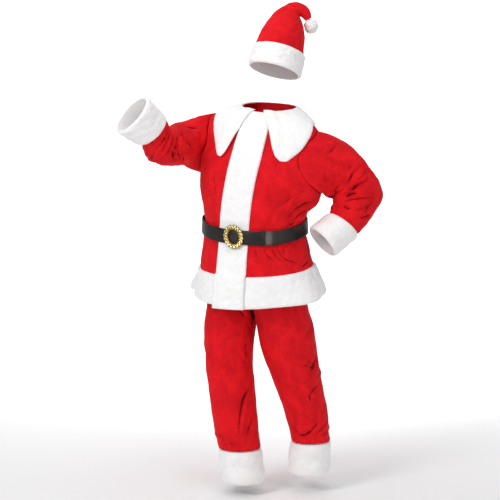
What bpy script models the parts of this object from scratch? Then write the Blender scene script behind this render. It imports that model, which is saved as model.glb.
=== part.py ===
"""Santa suit as it is worn: hat, jacket with its belt, and trousers, each piece a hollow cloth wall.

Metres, +Z up. The origin is where the jacket hangs on the shoulders, at the middle of the neck.
The chest faces -Y. Heights in the tables are above the floor, and FLOOR moves them to the origin.
"""
import bpy
import numpy as np

for old in list(bpy.data.objects):
    bpy.data.objects.remove(old, do_unlink=True)

# Driving dimensions
FLOOR = -1.580            # height of the floor below the origin
ORIGIN_X = 0.045          # place of the neck across the tables
ORIGIN_Y = 0.020
SEAM_GAP = 0.0006         # between two sewn pieces
VELOUR = 0.0025           # wall of the red cloth
PLUSH = 0.009             # wall of the white plush
COLLAR_PLUSH = 0.007
BELT_HEIGHT = 0.056
BELT_WALL = 0.0035
POMPOM_RADIUS = 0.029
STEP = 1e-4               # step for the slope of a surface, in its own parameters
FOLD_RUNS = 6             # straight runs that a fold's line is made of


def table(columns, rows):
    """A dictionary of arrays, one for each named column."""
    values = np.array(rows, dtype=float)
    return {name: values[:, i] for i, name in enumerate(columns.split())}


def smooth(values, at):
    """Catmull-Rom curve through values one step apart, read at any place on it."""
    last = len(values) - 1
    at = np.clip(at, 0.0, last)
    cell = np.minimum(at.astype(int), last - 1)
    t = at - cell
    ends = np.concatenate(([2 * values[0] - values[1]], values, [2 * values[-1] - values[-2]]))
    a, b, c, d = (ends[cell + k] for k in range(4))
    return b + 0.5 * t * (c - a + t * (2 * a - 5 * b + 4 * c - d + t * (3 * (b - c) + d - a)))


def ease(t):
    """0 below 0, 1 above 1, smooth between."""
    t = np.clip(t, 0.0, 1.0)
    return t * t * (3 - 2 * t)


def bump(distance, width):
    """1 at no distance, falling to 0.37 one width away."""
    return np.exp(-(distance / width) ** 2)


# The jacket's body: rings from the hem up to the neck, one row for each
# roll lowers the left side, pitch lowers the front, both in metres for each metre
BODY = table("height across forward half_width front back square roll pitch", [
    (0.815, 0.004, 0.000, 0.262, 0.226, 0.205, 0.96, 0.01, 0.17),
    (0.865, 0.002, 0.000, 0.254, 0.220, 0.200, 0.96, 0.02, 0.18),
    (0.925, 0.000, 0.000, 0.240, 0.210, 0.188, 0.95, 0.03, 0.18),
    (1.012, -0.004, 0.000, 0.226, 0.194, 0.168, 0.95, 0.06, 0.20),
    (1.108, -0.008, 0.000, 0.212, 0.176, 0.148, 0.95, 0.09, 0.27),
    (1.165, -0.006, 0.000, 0.222, 0.176, 0.148, 0.94, 0.09, 0.20),
    (1.230, -0.001, 0.000, 0.240, 0.172, 0.154, 0.93, 0.12, 0.10),
    (1.312, 0.006, 0.005, 0.256, 0.164, 0.160, 0.92, 0.16, 0.05),
    (1.392, 0.014, 0.012, 0.266, 0.150, 0.152, 0.91, 0.19, 0.03),
    (1.462, 0.022, 0.018, 0.264, 0.130, 0.130, 0.91, 0.20, 0.03),
    (1.516, 0.030, 0.020, 0.238, 0.108, 0.106, 0.93, 0.19, 0.05),
    (1.558, 0.038, 0.020, 0.178, 0.090, 0.088, 0.96, 0.15, 0.12),
    (1.584, 0.046, 0.020, 0.114, 0.080, 0.076, 1.00, 0.10, 0.26),
])
HEM_ROW = 2.25            # where the red cloth ends in the plush band
BELT_ROW = 4.0
ARMPIT_ROW = 6.6
SHOULDER_ROW = 10.2
NECK_ROW = 12.0

# Flares of the hem: angle from the front, towards the wearer's left
FLARES = table("angle out wide", [
    (-99, 0.074, 15), (-74, -0.006, 10), (-20, 0.006, 22), (38, -0.008, 18),
    (76, 0.030, 20), (112, 0.020, 18), (150, -0.014, 14), (180, 0.012, 16),
])

# Folds of the body: from and to (angle, row), half width and depth
BODY_FOLDS = table("angle_a row_a angle_b row_b wide deep", [
    (82, 6.5, 56, 5.0, 0.019, 0.017),
    (80, 5.8, 66, 4.8, 0.015, 0.013),
    (70, 6.9, 40, 5.6, 0.024, 0.008),
    (-84, 6.9, -62, 5.0, 0.021, 0.012),
    (-70, 9.6, -44, 7.6, 0.024, 0.009),
    (66, 9.2, 48, 7.4, 0.027, 0.008),
    (24, 3.5, 58, 2.2, 0.022, 0.009),
    (52, 3.6, 30, 1.8, 0.019, 0.008),
    (-60, 3.6, -54, 1.8, 0.018, 0.008),
    (-112, 3.6, -118, 1.6, 0.024, 0.013),
    (118, 3.6, 126, 1.6, 0.024, 0.013),
    (150, 5.0, 128, 7.2, 0.027, 0.013),
    (-150, 5.0, -128, 7.2, 0.027, 0.013),
    (180, 5.0, 176, 7.6, 0.030, 0.012),
    (160, 3.4, 158, 1.5, 0.022, 0.010),
    (-162, 3.4, -158, 1.5, 0.022, 0.010),
])


def ring_point(angle, row):
    """Point of the body without folds: a rounded ring at a row, at an angle from the front."""
    row = row + 0.0 * angle
    get = {name: smooth(values, row) for name, values in BODY.items()}
    side, ahead = np.sin(angle), np.cos(angle)
    across = get["half_width"] * np.sign(side) * np.abs(side) ** get["square"]
    depth = np.where(ahead > 0, get["front"], get["back"])
    forward = -depth * np.sign(ahead) * np.abs(ahead) ** get["square"]
    low = ease((BELT_ROW - 1.0 - row) / 3.0)
    grow = sum(out * bump(np.degrees(np.angle(np.exp(1j * (angle - np.radians(at))))), wide)
               for at, out, wide in zip(FLARES["angle"], FLARES["out"], FLARES["wide"]))
    scale = 1 + low * grow / 0.25
    across, forward = across * scale, forward * scale
    height = get["height"] - get["roll"] * across + get["pitch"] * forward
    return np.stack([get["across"] + across, get["forward"] + forward, height], -1)


def line_distance(points, line):
    """Distance of each point from a line of several straight runs, and how far along it lies."""
    best = np.full(points.shape[:-1], 1e9)
    place = np.zeros(points.shape[:-1])
    for i in range(len(line) - 1):
        run = line[i + 1] - line[i]
        t = np.clip(((points - line[i]) @ run) / (run @ run), 0, 1)
        distance = np.linalg.norm(points - (line[i] + t[..., None] * run), axis=-1)
        nearer = distance < best
        best = np.where(nearer, distance, best)
        place = np.where(nearer, (i + t) / (len(line) - 1), place)
    return best, place


def surface_normal(surface, u, v):
    """Outward normal of a surface, from its slopes in both parameters."""
    du = surface(u + STEP, v) - surface(u - STEP, v)
    dv = surface(u, v + STEP) - surface(u, v - STEP)
    normal = np.cross(du, dv)
    return normal / np.maximum(np.linalg.norm(normal, axis=-1, keepdims=True), 1e-12)


def folded(surface, folds):
    """The surface pushed in along its folds: each runs over the surface and fades to its ends."""
    keys = [k for k in folds if k not in ("wide", "deep")]
    part = np.linspace(0, 1, FOLD_RUNS + 1)
    lines = []
    for i in range(len(folds["wide"])):
        turn_a, row_a, turn_b, row_b = (folds[k][i] for k in keys)
        turn = np.radians(turn_a + (turn_b - turn_a) * part)
        lines.append(surface(turn, row_a + (row_b - row_a) * part))

    def with_folds(u, v):
        points = surface(u, v)
        push = np.zeros(points.shape[:-1])
        for line, wide, deep in zip(lines, folds["wide"], folds["deep"]):
            distance, along = line_distance(points, line)
            push += deep * bump(distance, wide) * np.sin(np.pi * (0.06 + 0.88 * along)) ** 0.7
        return points - push[..., None] * surface_normal(surface, u, v)
    return with_folds


body_surface = folded(ring_point, BODY_FOLDS)


def offset_points(surface, u, v, out):
    """Points of the surface moved out along its normal."""
    u, v = np.broadcast_arrays(u, v)
    return surface(u, v) + np.asarray(out)[..., None] * surface_normal(surface, u, v)


# The collection and the materials
SUIT = bpy.data.collections.new("santa_suit")
bpy.context.scene.collection.children.link(SUIT)
FINISH = {
    "red_velour": ((0.62, 0.012, 0.020), 0.75, 0.0),
    "white_plush": ((0.86, 0.88, 0.90), 0.95, 0.0),
    "belt_vinyl": ((0.022, 0.018, 0.015), 0.38, 0.0),
    "buckle_gold": ((0.80, 0.66, 0.32), 0.30, 1.0),
}


def finish(node, kind):
    """A material of its own for the node, in the colour and gloss of its kind."""
    colour, rough, metal = FINISH[kind]
    made = bpy.data.materials.new(kind + "_" + node)
    made.use_nodes = True
    shader = made.node_tree.nodes["Principled BSDF"]
    shader.inputs["Base Color"].default_value = (*colour, 1.0)
    shader.inputs["Roughness"].default_value = rough
    shader.inputs["Metallic"].default_value = metal
    return made


def add_mesh(node, points, faces, kind):
    """A named object in the suit, with its points moved from the tables' place to the origin."""
    moved = np.asarray(points) + np.array([-ORIGIN_X, -ORIGIN_Y, FLOOR])
    mesh = bpy.data.meshes.new(node)
    mesh.from_pydata([tuple(p) for p in moved], [], faces)
    mesh.materials.append(finish(node, kind))
    piece = bpy.data.objects.new(node, mesh)
    SUIT.objects.link(piece)
    mesh.shade_smooth()
    mesh.set_sharp_from_angle(angle=np.radians(50))
    return piece


def wall_faces(rows, columns, closed):
    """Faces of a wall: the outer grid, the inner grid turned round, and the rims between them."""
    faces = []
    inner = rows * columns
    steps = columns if closed else columns - 1
    for i in range(rows - 1):
        for j in range(steps):
            k = (j + 1) % columns
            a, b = i * columns + j, i * columns + k
            c, d = a + columns, b + columns
            faces.append((a, b, d, c))
            faces.append((inner + a, inner + c, inner + d, inner + b))
    for j in range(steps):
        k = (j + 1) % columns
        faces.append((k, j, inner + j, inner + k))
        a, b = (rows - 1) * columns + j, (rows - 1) * columns + k
        faces.append((a, b, inner + b, inner + a))
    if not closed:
        for i in range(rows - 1):
            a, c = i * columns, (i + 1) * columns
            faces.append((a, c, inner + c, inner + a))
            b, d = a + columns - 1, c + columns - 1
            faces.append((d, b, inner + b, inner + d))
    return faces


def wall(node, outer, inner, kind, closed=False):
    """A closed cloth wall between two grids of points: rows run upwards, columns to the left."""
    rows, columns = outer.shape[:2]
    points = np.concatenate([outer.reshape(-1, 3), inner.reshape(-1, 3)])
    return add_mesh(node, points, wall_faces(rows, columns, closed), kind)


# Panels of the jacket: columns are angles from the front, rows are rows of BODY
FRONT_EDGE = 90.0         # side seam, seen from above
ARMHOLE_FRONT = 40.0      # how far the armhole cuts into the front and the back, in degrees
ARMHOLE_BACK = 30.0
ARMHOLE_STEPS = 9
BODY_ROWS = np.concatenate([
    np.linspace(HEM_ROW, ARMPIT_ROW, 11),
    np.linspace(ARMPIT_ROW, SHOULDER_ROW, ARMHOLE_STEPS + 1)[1:],
    np.linspace(SHOULDER_ROW, NECK_ROW, 5)[1:],
])
FRONT_COLUMNS = 10
BACK_COLUMNS = 15


def edge_angle(row, cut):
    """Angle from the front of a panel's side edge: the side seam, cut in where the armhole is."""
    along = np.clip((row - ARMPIT_ROW) / (SHOULDER_ROW - ARMPIT_ROW), 0, 1)
    return np.radians(FRONT_EDGE - cut * np.sin(np.pi * along) ** 0.8)


def seam_angle(row):
    """Half of the seam gap as an angle, at the body's width there."""
    return 0.5 * SEAM_GAP / (0.6 * smooth(BODY["half_width"], row))


def body_panel(node, first, last, columns):
    """A panel between two edges, each a function of the row, with rows up to the neck."""
    rows = BODY_ROWS[:, None]
    part = np.linspace(0, 1, columns)[None, :]
    angle = first(rows) * (1 - part) + last(rows) * part
    outer = offset_points(body_surface, angle, rows, 0.0)
    inner = offset_points(body_surface, angle, rows, -VELOUR)
    return wall(node, outer, inner, "red_velour")


body_panel("front_right", lambda r: -edge_angle(r, ARMHOLE_FRONT) + seam_angle(r),
           lambda r: -seam_angle(r), FRONT_COLUMNS)
body_panel("front_left", lambda r: seam_angle(r),
           lambda r: edge_angle(r, ARMHOLE_FRONT) - seam_angle(r), FRONT_COLUMNS)
body_panel("back", lambda r: 2 * np.pi - np.radians(2 * FRONT_EDGE) + edge_angle(r, ARMHOLE_BACK) * -1
           + seam_angle(r), lambda r: np.pi + edge_angle(r, ARMHOLE_BACK) - seam_angle(r), BACK_COLUMNS)


# What lies on the body: the hem band, the placket, the collar and the belt
PUFF = np.array([0.55, 1.0, 1.0, 0.95, 0.45])      # plush is rounded at both edges


def hem_band(node, first, last, columns, bottom):
    """A padded band that carries the body's rings on down, rounded at its top and bottom edges."""
    rows = np.linspace(bottom, HEM_ROW - 0.01, len(PUFF))[:, None]
    angle = np.radians(np.linspace(first, last, columns))[None, :]
    angle, rows = np.broadcast_arrays(angle, rows)
    puff = np.broadcast_to(PUFF[:, None], rows.shape)
    outer = offset_points(body_surface, angle, rows, PLUSH * puff)
    inner = offset_points(body_surface, angle, rows, -VELOUR - 0.001 * puff)
    return wall(node, outer, inner, "white_plush")


SIDE_GAP = 0.10           # degrees between two parts of the band
hem_band("hem_band_right", -90 + SIDE_GAP, -SIDE_GAP, 14, 0.28)
hem_band("hem_band_left", SIDE_GAP, 90 - SIDE_GAP, 14, 0.06)
hem_band("hem_band_back", 90 + SIDE_GAP, 270 - SIDE_GAP, 24, 0.12)

PLACKET = table("row degrees wide", [
    (-0.3, -2.2, 0.128), (2.2, -2.4, 0.128), (4.0, -2.2, 0.126), (5.0, -0.8, 0.124), (8.0, 2.4, 0.114),
    (11.6, 2.4, 0.100),
])
PLACKET_ROWS = np.linspace(0.004, 11.5, 28)


def placket():
    """The wide plush strip down the front, over the hem band, set a little to the right."""
    rows = PLACKET_ROWS[:, None]
    turn = np.interp(rows, PLACKET["row"], PLACKET["degrees"])
    wide = np.interp(rows, PLACKET["row"], PLACKET["wide"])
    half = np.degrees(0.5 * wide / smooth(BODY["half_width"], rows))
    half = np.minimum(half, 30.0)
    across = np.linspace(-1, 1, 6)[None, :]
    angle = np.radians(turn + half * across)
    round_edge = np.sqrt(np.clip(1 - across ** 4 * 0.8, 0, 1))
    over_band = PLUSH * 1.25 * (1 - ease((rows - HEM_ROW + 0.06) / 0.16))
    under = 0.0022 + over_band
    angle, under = np.broadcast_arrays(angle, under)
    thick = 0.008 - 0.0055 * (1 - ease((np.abs(rows - BELT_ROW) - 0.55) / 0.5))
    thick = thick - 0.004 * ease((rows - 9.0) / 1.0)
    outer = offset_points(body_surface, angle, rows + 0 * angle, under + thick * round_edge)
    inner = offset_points(body_surface, angle, rows + 0 * angle, under)
    return wall("placket", outer, inner, "white_plush")


placket()

# Edge of the collar: angle from the front and the row that the edge reaches
COLLAR_EDGE = table("angle row", [
    (9, 11.30), (12, 10.60), (16, 9.60), (21, 8.70), (26, 8.22), (32, 8.00), (39, 8.05), (45, 8.40),
    (51, 8.95), (58, 9.65), (67, 10.25), (80, 10.60), (95, 10.70), (115, 10.50), (135, 10.20),
    (158, 10.00), (179.6, 10.00),
])
RIGHT_LOBE_DROP = 0.35    # rows that the right lobe hangs lower
RIGHT_LOBE_TURN = 15.0    # degrees that it lies nearer to the front
COLLAR_ANGLES = np.concatenate([np.linspace(9, 60, 14), np.linspace(60, 179.6, 12)[1:]])
COLLAR_ROWS = 5
COLLAR_LIFT = 0.0030      # clear of the panels' flat facets


def collar(node, side):
    """Half of the wide flat collar: from the neck edge out to the lobe's edge, on the shoulder."""
    angle = COLLAR_ANGLES
    turn = angle + (RIGHT_LOBE_TURN * bump(angle - 32, 26) if side < 0 else 0)
    edge = np.interp(turn, COLLAR_EDGE["angle"], COLLAR_EDGE["row"])
    if side < 0:
        edge = edge - RIGHT_LOBE_DROP * bump(angle - 22, 14)
    part = np.linspace(0, 1, COLLAR_ROWS)[:, None]
    rows = edge[None, :] * (1 - part) + (NECK_ROW - 0.002) * part
    angle = np.radians(angle)[None, :] + 0 * rows
    if side < 0:
        angle, rows = -angle[:, ::-1], rows[:, ::-1]
    inside = COLLAR_LIFT + 0.0060 * (1 - ease((np.abs(np.degrees(angle)) - 22) / 10)) + 0 * rows
    puff = np.broadcast_to(np.array([0.5, 1.0, 1.0, 0.95, 0.6])[:, None], rows.shape)
    outer = offset_points(body_surface, angle, rows, inside + COLLAR_PLUSH * puff)
    inner = offset_points(body_surface, angle, rows, inside)
    return wall(node, outer, inner, "white_plush")


collar("collar_right", -1)
collar("collar_left", 1)


# The sleeves: rings along a path, from the armhole to the cuff, one row for each
# cuff is how far the row's ring belongs to the plush cuff
ARM = "across forward height wide deep"
RIGHT_ARM = table(ARM, [
    (-0.250, -0.014, 1.442, 0.100, 0.090),
    (-0.274, -0.062, 1.441, 0.096, 0.086),
    (-0.284, -0.122, 1.435, 0.088, 0.084),
    (-0.284, -0.190, 1.426, 0.081, 0.082),
    (-0.283, -0.264, 1.420, 0.075, 0.082),
    (-0.285, -0.304, 1.439, 0.071, 0.076),
    (-0.288, -0.329, 1.475, 0.067, 0.070),
    (-0.313, -0.370, 1.509, 0.074, 0.078),
    (-0.337, -0.411, 1.543, 0.082, 0.084),
])
LEFT_ARM = table(ARM, [
    (0.271, 0.087, 1.345, 0.110, 0.095),
    (0.310, 0.107, 1.341, 0.103, 0.096),
    (0.347, 0.128, 1.320, 0.095, 0.094),
    (0.371, 0.145, 1.282, 0.094, 0.091),
    (0.384, 0.152, 1.232, 0.091, 0.087),
    (0.374, 0.132, 1.171, 0.082, 0.080),
    (0.347, 0.094, 1.112, 0.069, 0.071),
    (0.314, 0.060, 1.074, 0.067, 0.071),
    (0.282, 0.025, 1.038, 0.068, 0.072),
])
CUFF_ROW = 6.0
CUFF_END = 8.0
SLEEVE_COLUMNS = 2 * ARMHOLE_STEPS
SLEEVE_ROWS = 17
BEND_SPREAD = 3           # times that the directions are evened out, so that an elbow bends softly

# Folds of the sleeves: angle_a row_a are where a fold starts, round the arm from its top
# The last one of the left sleeve stands out instead: the cloth over the elbow
ARM_FOLDS = "angle_a row_a angle_b row_b wide deep"
RIGHT_FOLDS = table(ARM_FOLDS, [
    (250, 2.2, 330, 4.2, 0.018, 0.014), (235, 2.8, 310, 4.7, 0.016, 0.013),
    (215, 3.4, 285, 5.2, 0.014, 0.012), (200, 2.4, 262, 3.6, 0.016, 0.011),
    (300, 1.0, 350, 2.6, 0.021, 0.011), (40, 2.8, 110, 4.2, 0.019, 0.009),
    (30, 1.4, 95, 2.6, 0.022, 0.009), (150, 4.4, 215, 5.6, 0.014, 0.009),
    (330, 4.4, 40, 5.3, 0.014, 0.008),
])
LEFT_FOLDS = table(ARM_FOLDS, [
    (120, 3.3, 60, 2.5, 0.017, 0.013), (138, 3.9, 70, 3.6, 0.016, 0.014), (150, 4.4, 80, 4.7, 0.016, 0.012),
    (70, 1.5, 112, 2.4, 0.020, 0.009),
    (300, 1.3, 268, 2.4, 0.020, 0.010), (20, 4.9, 75, 5.7, 0.015, 0.008),
    (-35, 3.5, 35, 3.5, 0.062, -0.014),
])


def armhole(turn, side, depth):
    """Point of the armhole, round it from the shoulder: over the front and back on one side."""
    part = np.mod(turn / (2 * np.pi), 1.0)
    first = part < 0.5
    down = np.where(first, part, 1 - part) / 0.5
    row = SHOULDER_ROW - (SHOULDER_ROW - ARMPIT_ROW) * down
    on_front = first if side > 0 else ~first
    front = edge_angle(row, ARMHOLE_FRONT)
    back = np.pi - edge_angle(row, ARMHOLE_BACK)
    angle = side * np.where(on_front, front, back)
    return offset_points(body_surface, angle, row, depth)


def arm_frame(arm, side):
    """Centres of the rings and two directions across each: up the arm's top, and round it."""
    centre = np.stack([arm["across"], arm["forward"], arm["height"]], -1)
    along = np.gradient(centre, axis=0)
    for _ in range(BEND_SPREAD):
        padded = np.concatenate([along[:1], along, along[-1:]])
        along = (padded[:-2] + 2 * along + padded[2:]) / 4
    along /= np.linalg.norm(along, axis=1, keepdims=True)
    top = armhole(np.array(0.0), side, 0.0) - armhole(np.array(np.pi), side, 0.0)
    tops = []
    for direction in along:
        top = top - (top @ direction) * direction
        top = top / np.linalg.norm(top)
        tops.append(top)
    tops = np.array(tops)
    return centre, tops, np.cross(along, tops)


def sleeve_surface(arm, side):
    """A tube that starts as the armhole and becomes an oval across the arm's path."""
    centre, tops, rounds = arm_frame(arm, side)
    middle = armhole(np.radians(np.arange(0, 360, 10.0)), side, 0.0).mean(axis=0)

    def surface(turn, row):
        turn, row = np.broadcast_arrays(np.asarray(turn, float), np.asarray(row, float))
        def read(values):
            return np.stack([smooth(values[:, i], row) for i in range(3)], -1)
        top, ahead = read(tops), read(rounds)
        oval = read(centre) + (np.cos(turn) * smooth(arm["wide"], row))[..., None] * top
        oval = oval + (np.sin(turn) * smooth(arm["deep"], row))[..., None] * ahead
        hole = armhole(turn, side, 0.0)
        inwards = middle - hole
        inwards = inwards / np.linalg.norm(inwards, axis=-1, keepdims=True)
        hole = hole + 2 * SEAM_GAP * inwards + read(centre) - centre[0]
        share = ease(row / 2.2)[..., None]
        return hole * (1 - share) + oval * share
    return surface


def tube(node, surface, rows, columns, out, into, kind):
    """A closed cloth tube round the arm or leg, from its first row to its last."""
    turn = np.arange(columns) * 2 * np.pi / columns
    turn, rows = np.broadcast_arrays(turn[None, :], rows[:, None])
    outer = offset_points(surface, turn, rows, out)
    inner = offset_points(surface, turn, rows, into)
    return wall(node, outer, inner, kind, closed=True)


CUFF_ROUND = np.array([0.3, 0.95, 1.0, 1.0, 0.45])


def arm(name, table_of_rings, side, folds):
    """A set-in sleeve with its folds, and its plush cuff."""
    surface = sleeve_surface(table_of_rings, side)
    rows = np.linspace(0, CUFF_ROW - 0.01, SLEEVE_ROWS)
    flat = np.zeros((SLEEVE_ROWS, 1))
    tube("sleeve_" + name, folded(surface, folds), rows, SLEEVE_COLUMNS, flat, flat - VELOUR, "red_velour")
    rows = np.linspace(CUFF_ROW, CUFF_END, 5)
    puff = CUFF_ROUND[:, None]
    tube("cuff_" + name, surface, rows, 20, 0.001 + PLUSH * puff, -VELOUR - 0.001 * puff, "white_plush")


arm("right", RIGHT_ARM, -1, RIGHT_FOLDS)
arm("left", LEFT_ARM, 1, LEFT_FOLDS)


# The belt rides on the waist, clear of the folds, and closes under its buckle
BELT_COLUMNS = 40
BELT_CLEAR = 0.0098       # from the waist to the back of the strap
BUCKLE_TURN = 0.5         # degrees from the front
BUCKLE_SIZE = (0.072, 0.092)
BUCKLE_OPENING = (0.036, 0.056)
BUCKLE_THICK = 0.009
SCALLOPS = 18
TIP_TURN = (13.5, 48.0)   # the strap's loose end, from the buckle through the keeper
KEEPER_TURN = (30.0, 33.2)
WAIST_ARC = 0.195         # metres of belt for each radian at the front


def belt_point(angle, up, out):
    """Point of the belt's path: the waist ring moved out, and up or down along the cloth."""
    angle, up, out = np.broadcast_arrays(angle, up, out)
    row = np.full(angle.shape, BELT_ROW)
    ring = offset_points(ring_point, angle, row, BELT_CLEAR + out)
    rise = ring_point(angle, row + 0.3) - ring_point(angle, row - 0.3)
    return ring + up[..., None] * rise / np.linalg.norm(rise, axis=-1, keepdims=True)


def strap(node, first, last, height, back, front, columns, kind, closed=False):
    """A flat strap along the belt between two angles, from its back to its front face."""
    angle = np.radians(np.linspace(first, last, columns, endpoint=not closed))[None, :]
    up = np.array([-0.5, -0.17, 0.17, 0.5])[:, None] * height
    return wall(node, belt_point(angle, up, front), belt_point(angle, up, back), kind, closed)


def keeper():
    """A short loop over the strap's loose end, with its sides turned in past the belt's edges."""
    half = 0.5 * BELT_HEIGHT + 0.0004
    up_outer = np.array([-half - 0.0022, -half - 0.0022, half + 0.0022, half + 0.0022])[:, None]
    up_inner = np.array([-half, -half, half, half])[:, None]
    out_outer = np.array([0.0002, 0.0096, 0.0096, 0.0002])[:, None]
    out_inner = np.array([0.0002, 0.0072, 0.0072, 0.0002])[:, None]
    angle = np.radians(np.array(KEEPER_TURN))[None, :]
    wall("belt_keeper", belt_point(angle, up_outer, out_outer), belt_point(angle, up_inner, out_inner),
         "belt_vinyl")


def buckle():
    """An oval ring with a scalloped rim and a plain oval opening, bowed to the belt."""
    around, section = 54, 6
    turn = np.arange(around) * 2 * np.pi / around
    roll = np.arange(section) * 2 * np.pi / section
    rim = 1 + 0.045 * np.abs(np.sin(0.5 * SCALLOPS * turn)) - 0.03
    turn, roll = turn[None, :], roll[:, None]
    outer = 0.5 * np.array(BUCKLE_SIZE)
    inner = 0.5 * np.array(BUCKLE_OPENING)
    middle, half = 0.5 * (outer + inner), 0.5 * (outer - inner)
    reach = -np.cos(roll) * rim[None, :]
    x = (middle[0] + half[0] * reach) * np.sin(turn)
    z = (middle[1] + half[1] * reach) * np.cos(turn)
    lean = np.radians(8)
    x, z = x * np.cos(lean) - z * np.sin(lean), x * np.sin(lean) + z * np.cos(lean)
    out = 0.0040 + 0.5 * BUCKLE_THICK * (1 - np.sin(roll)) + 0 * x
    points = belt_point(np.radians(BUCKLE_TURN) + x / WAIST_ARC, z, out)
    faces = []
    for i in range(section):
        for j in range(around):
            a, b = i * around + j, i * around + (j + 1) % around
            c, d = (i + 1) % section * around + j, (i + 1) % section * around + (j + 1) % around
            faces.append((a, c, d, b))
    add_mesh("buckle", points.reshape(-1, 3), faces, "buckle_gold")


strap("belt", 0, 360, BELT_HEIGHT, 0.0, BELT_WALL, BELT_COLUMNS, "belt_vinyl", closed=True)
strap("belt_tip", *TIP_TURN, BELT_HEIGHT - 0.002, BELT_WALL + 0.0004, 0.0066, 9, "belt_vinyl")
keeper()
buckle()


# The trousers: rings of each leg from the ankle up to the crotch, then round the hips to the waist
LEG = "height across forward wide deep"
RIGHT_LEG = table(LEG, [
    (0.186, -0.052, -0.054, 0.085, 0.089),
    (0.240, -0.062, -0.056, 0.088, 0.093),
    (0.320, -0.074, -0.056, 0.092, 0.098),
    (0.420, -0.087, -0.056, 0.094, 0.101),
    (0.520, -0.101, -0.052, 0.097, 0.103),
    (0.610, -0.107, -0.044, 0.101, 0.107),
    (0.690, -0.109, -0.030, 0.105, 0.115),
    (0.800, -0.107, -0.010, 0.104, 0.130),
    (0.910, -0.104, 0.000, 0.101, 0.140),
    (1.000, -0.103, 0.000, 0.100, 0.140),
])
LEFT_LEG = table(LEG, [
    (0.206, 0.189, 0.122, 0.080, 0.084),
    (0.255, 0.184, 0.116, 0.082, 0.088),
    (0.320, 0.178, 0.104, 0.088, 0.094),
    (0.400, 0.163, 0.086, 0.094, 0.102),
    (0.490, 0.143, 0.070, 0.103, 0.110),
    (0.590, 0.125, 0.048, 0.114, 0.118),
    (0.690, 0.118, 0.024, 0.1145, 0.124),
    (0.800, 0.108, 0.006, 0.105, 0.132),
    (0.910, 0.104, 0.000, 0.101, 0.140),
    (1.000, 0.103, 0.000, 0.100, 0.140),
])
CROTCH_ROW = 6.0
WAIST_ROW = 9.0
HIPS = table("wide front back", [(0.208, 0.165, 0.165), (0.208, 0.165, 0.160), (0.204, 0.155, 0.150),
                                 (0.198, 0.148, 0.142)])
LEG_COLUMNS = 18
LEG_ROWS = 18
INNER_SEAM = 0.0065       # half of the seam gap down the inner leg, in radians
LEG_FOLDS = "angle_a row_a angle_b row_b wide deep"
RIGHT_LEG_FOLDS = table(LEG_FOLDS, [
    (318, 2.6, 292, 0.6, 0.024, 0.013), (340, 5.4, 352, 4.3, 0.022, 0.010),
    (250, 0.4, 305, 0.8, 0.018, 0.012), (230, 1.1, 285, 0.5, 0.018, 0.008),
    (40, 0.5, 120, 0.9, 0.019, 0.012), (200, 2.9, 150, 3.4, 0.027, 0.009),
    (80, 2.8, 40, 3.2, 0.027, 0.010),
])
LEFT_LEG_FOLDS = table(LEG_FOLDS, [
    (200, 4.4, 150, 3.9, 0.021, 0.013), (196, 3.6, 150, 3.1, 0.019, 0.012),
    (30, 5.6, 70, 4.6, 0.024, 0.010), (70, 0.7, 160, 0.35, 0.017, 0.012),
    (60, 0.3, 130, 1.1, 0.018, 0.010), (190, 0.8, 260, 0.5, 0.018, 0.012),
    (330, 3.2, 285, 3.8, 0.027, 0.010), (250, 2.7, 300, 3.0, 0.027, 0.009),
])


def leg_surface(rings, side):
    """A leg that opens at the crotch into half of the hips; it turns from the inner leg round the front."""
    def surface(turn, row):
        turn, row = np.broadcast_arrays(np.asarray(turn, float), np.asarray(row, float))
        get = {name: smooth(values, row) for name, values in rings.items()}
        start = -side * np.cos(turn)
        x = get["across"] + get["wide"] * start
        y = get["forward"] - side * get["deep"] * np.sin(turn)
        hip_row = np.clip(row - CROTCH_ROW, 0, 3)
        hip = {name: smooth(values, hip_row) for name, values in HIPS.items()}
        hip_turn = 0.5 * turn if side > 0 else np.pi + 0.5 * turn
        ahead = np.cos(hip_turn)
        hip_x = hip["wide"] * np.sin(hip_turn)
        hip_y = -np.where(ahead > 0, hip["front"], hip["back"]) * ahead
        share = ease((row - CROTCH_ROW) / 2.0)
        x, y = x * (1 - share) + hip_x * share, y * (1 - share) + hip_y * share
        return np.stack([x, y, get["height"] + 0 * x], -1)
    return surface


def leg(name, rings, side, folds):
    """One leg of the trousers in a single piece, sewn to itself down the inner leg."""
    turn = np.linspace(INNER_SEAM, 2 * np.pi - INNER_SEAM, LEG_COLUMNS + 1)[None, :]
    rows = np.linspace(0, WAIST_ROW, LEG_ROWS)[:, None]
    turn, rows = np.broadcast_arrays(turn, rows)
    surface = folded(leg_surface(rings, side), folds)
    outer = offset_points(surface, turn, rows, 0.0)
    inner = offset_points(surface, turn, rows, -VELOUR)
    wall("leg_" + name, outer, inner, "red_velour")


leg("right", RIGHT_LEG, -1, RIGHT_LEG_FOLDS)
leg("left", LEFT_LEG, 1, LEFT_LEG_FOLDS)


def oval_rings(rings):
    """Upright ovals, one for each row: turn goes round from the front, towards the wearer's left."""
    def surface(turn, row):
        turn, row = np.broadcast_arrays(np.asarray(turn, float), np.asarray(row, float))
        get = {name: smooth(values, row) for name, values in rings.items()}
        x = get["across"] + get["wide"] * np.sin(turn)
        y = get["forward"] - get["deep"] * np.cos(turn)
        return np.stack([x, y, get["height"] + 0 * x], -1)
    return surface


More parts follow.
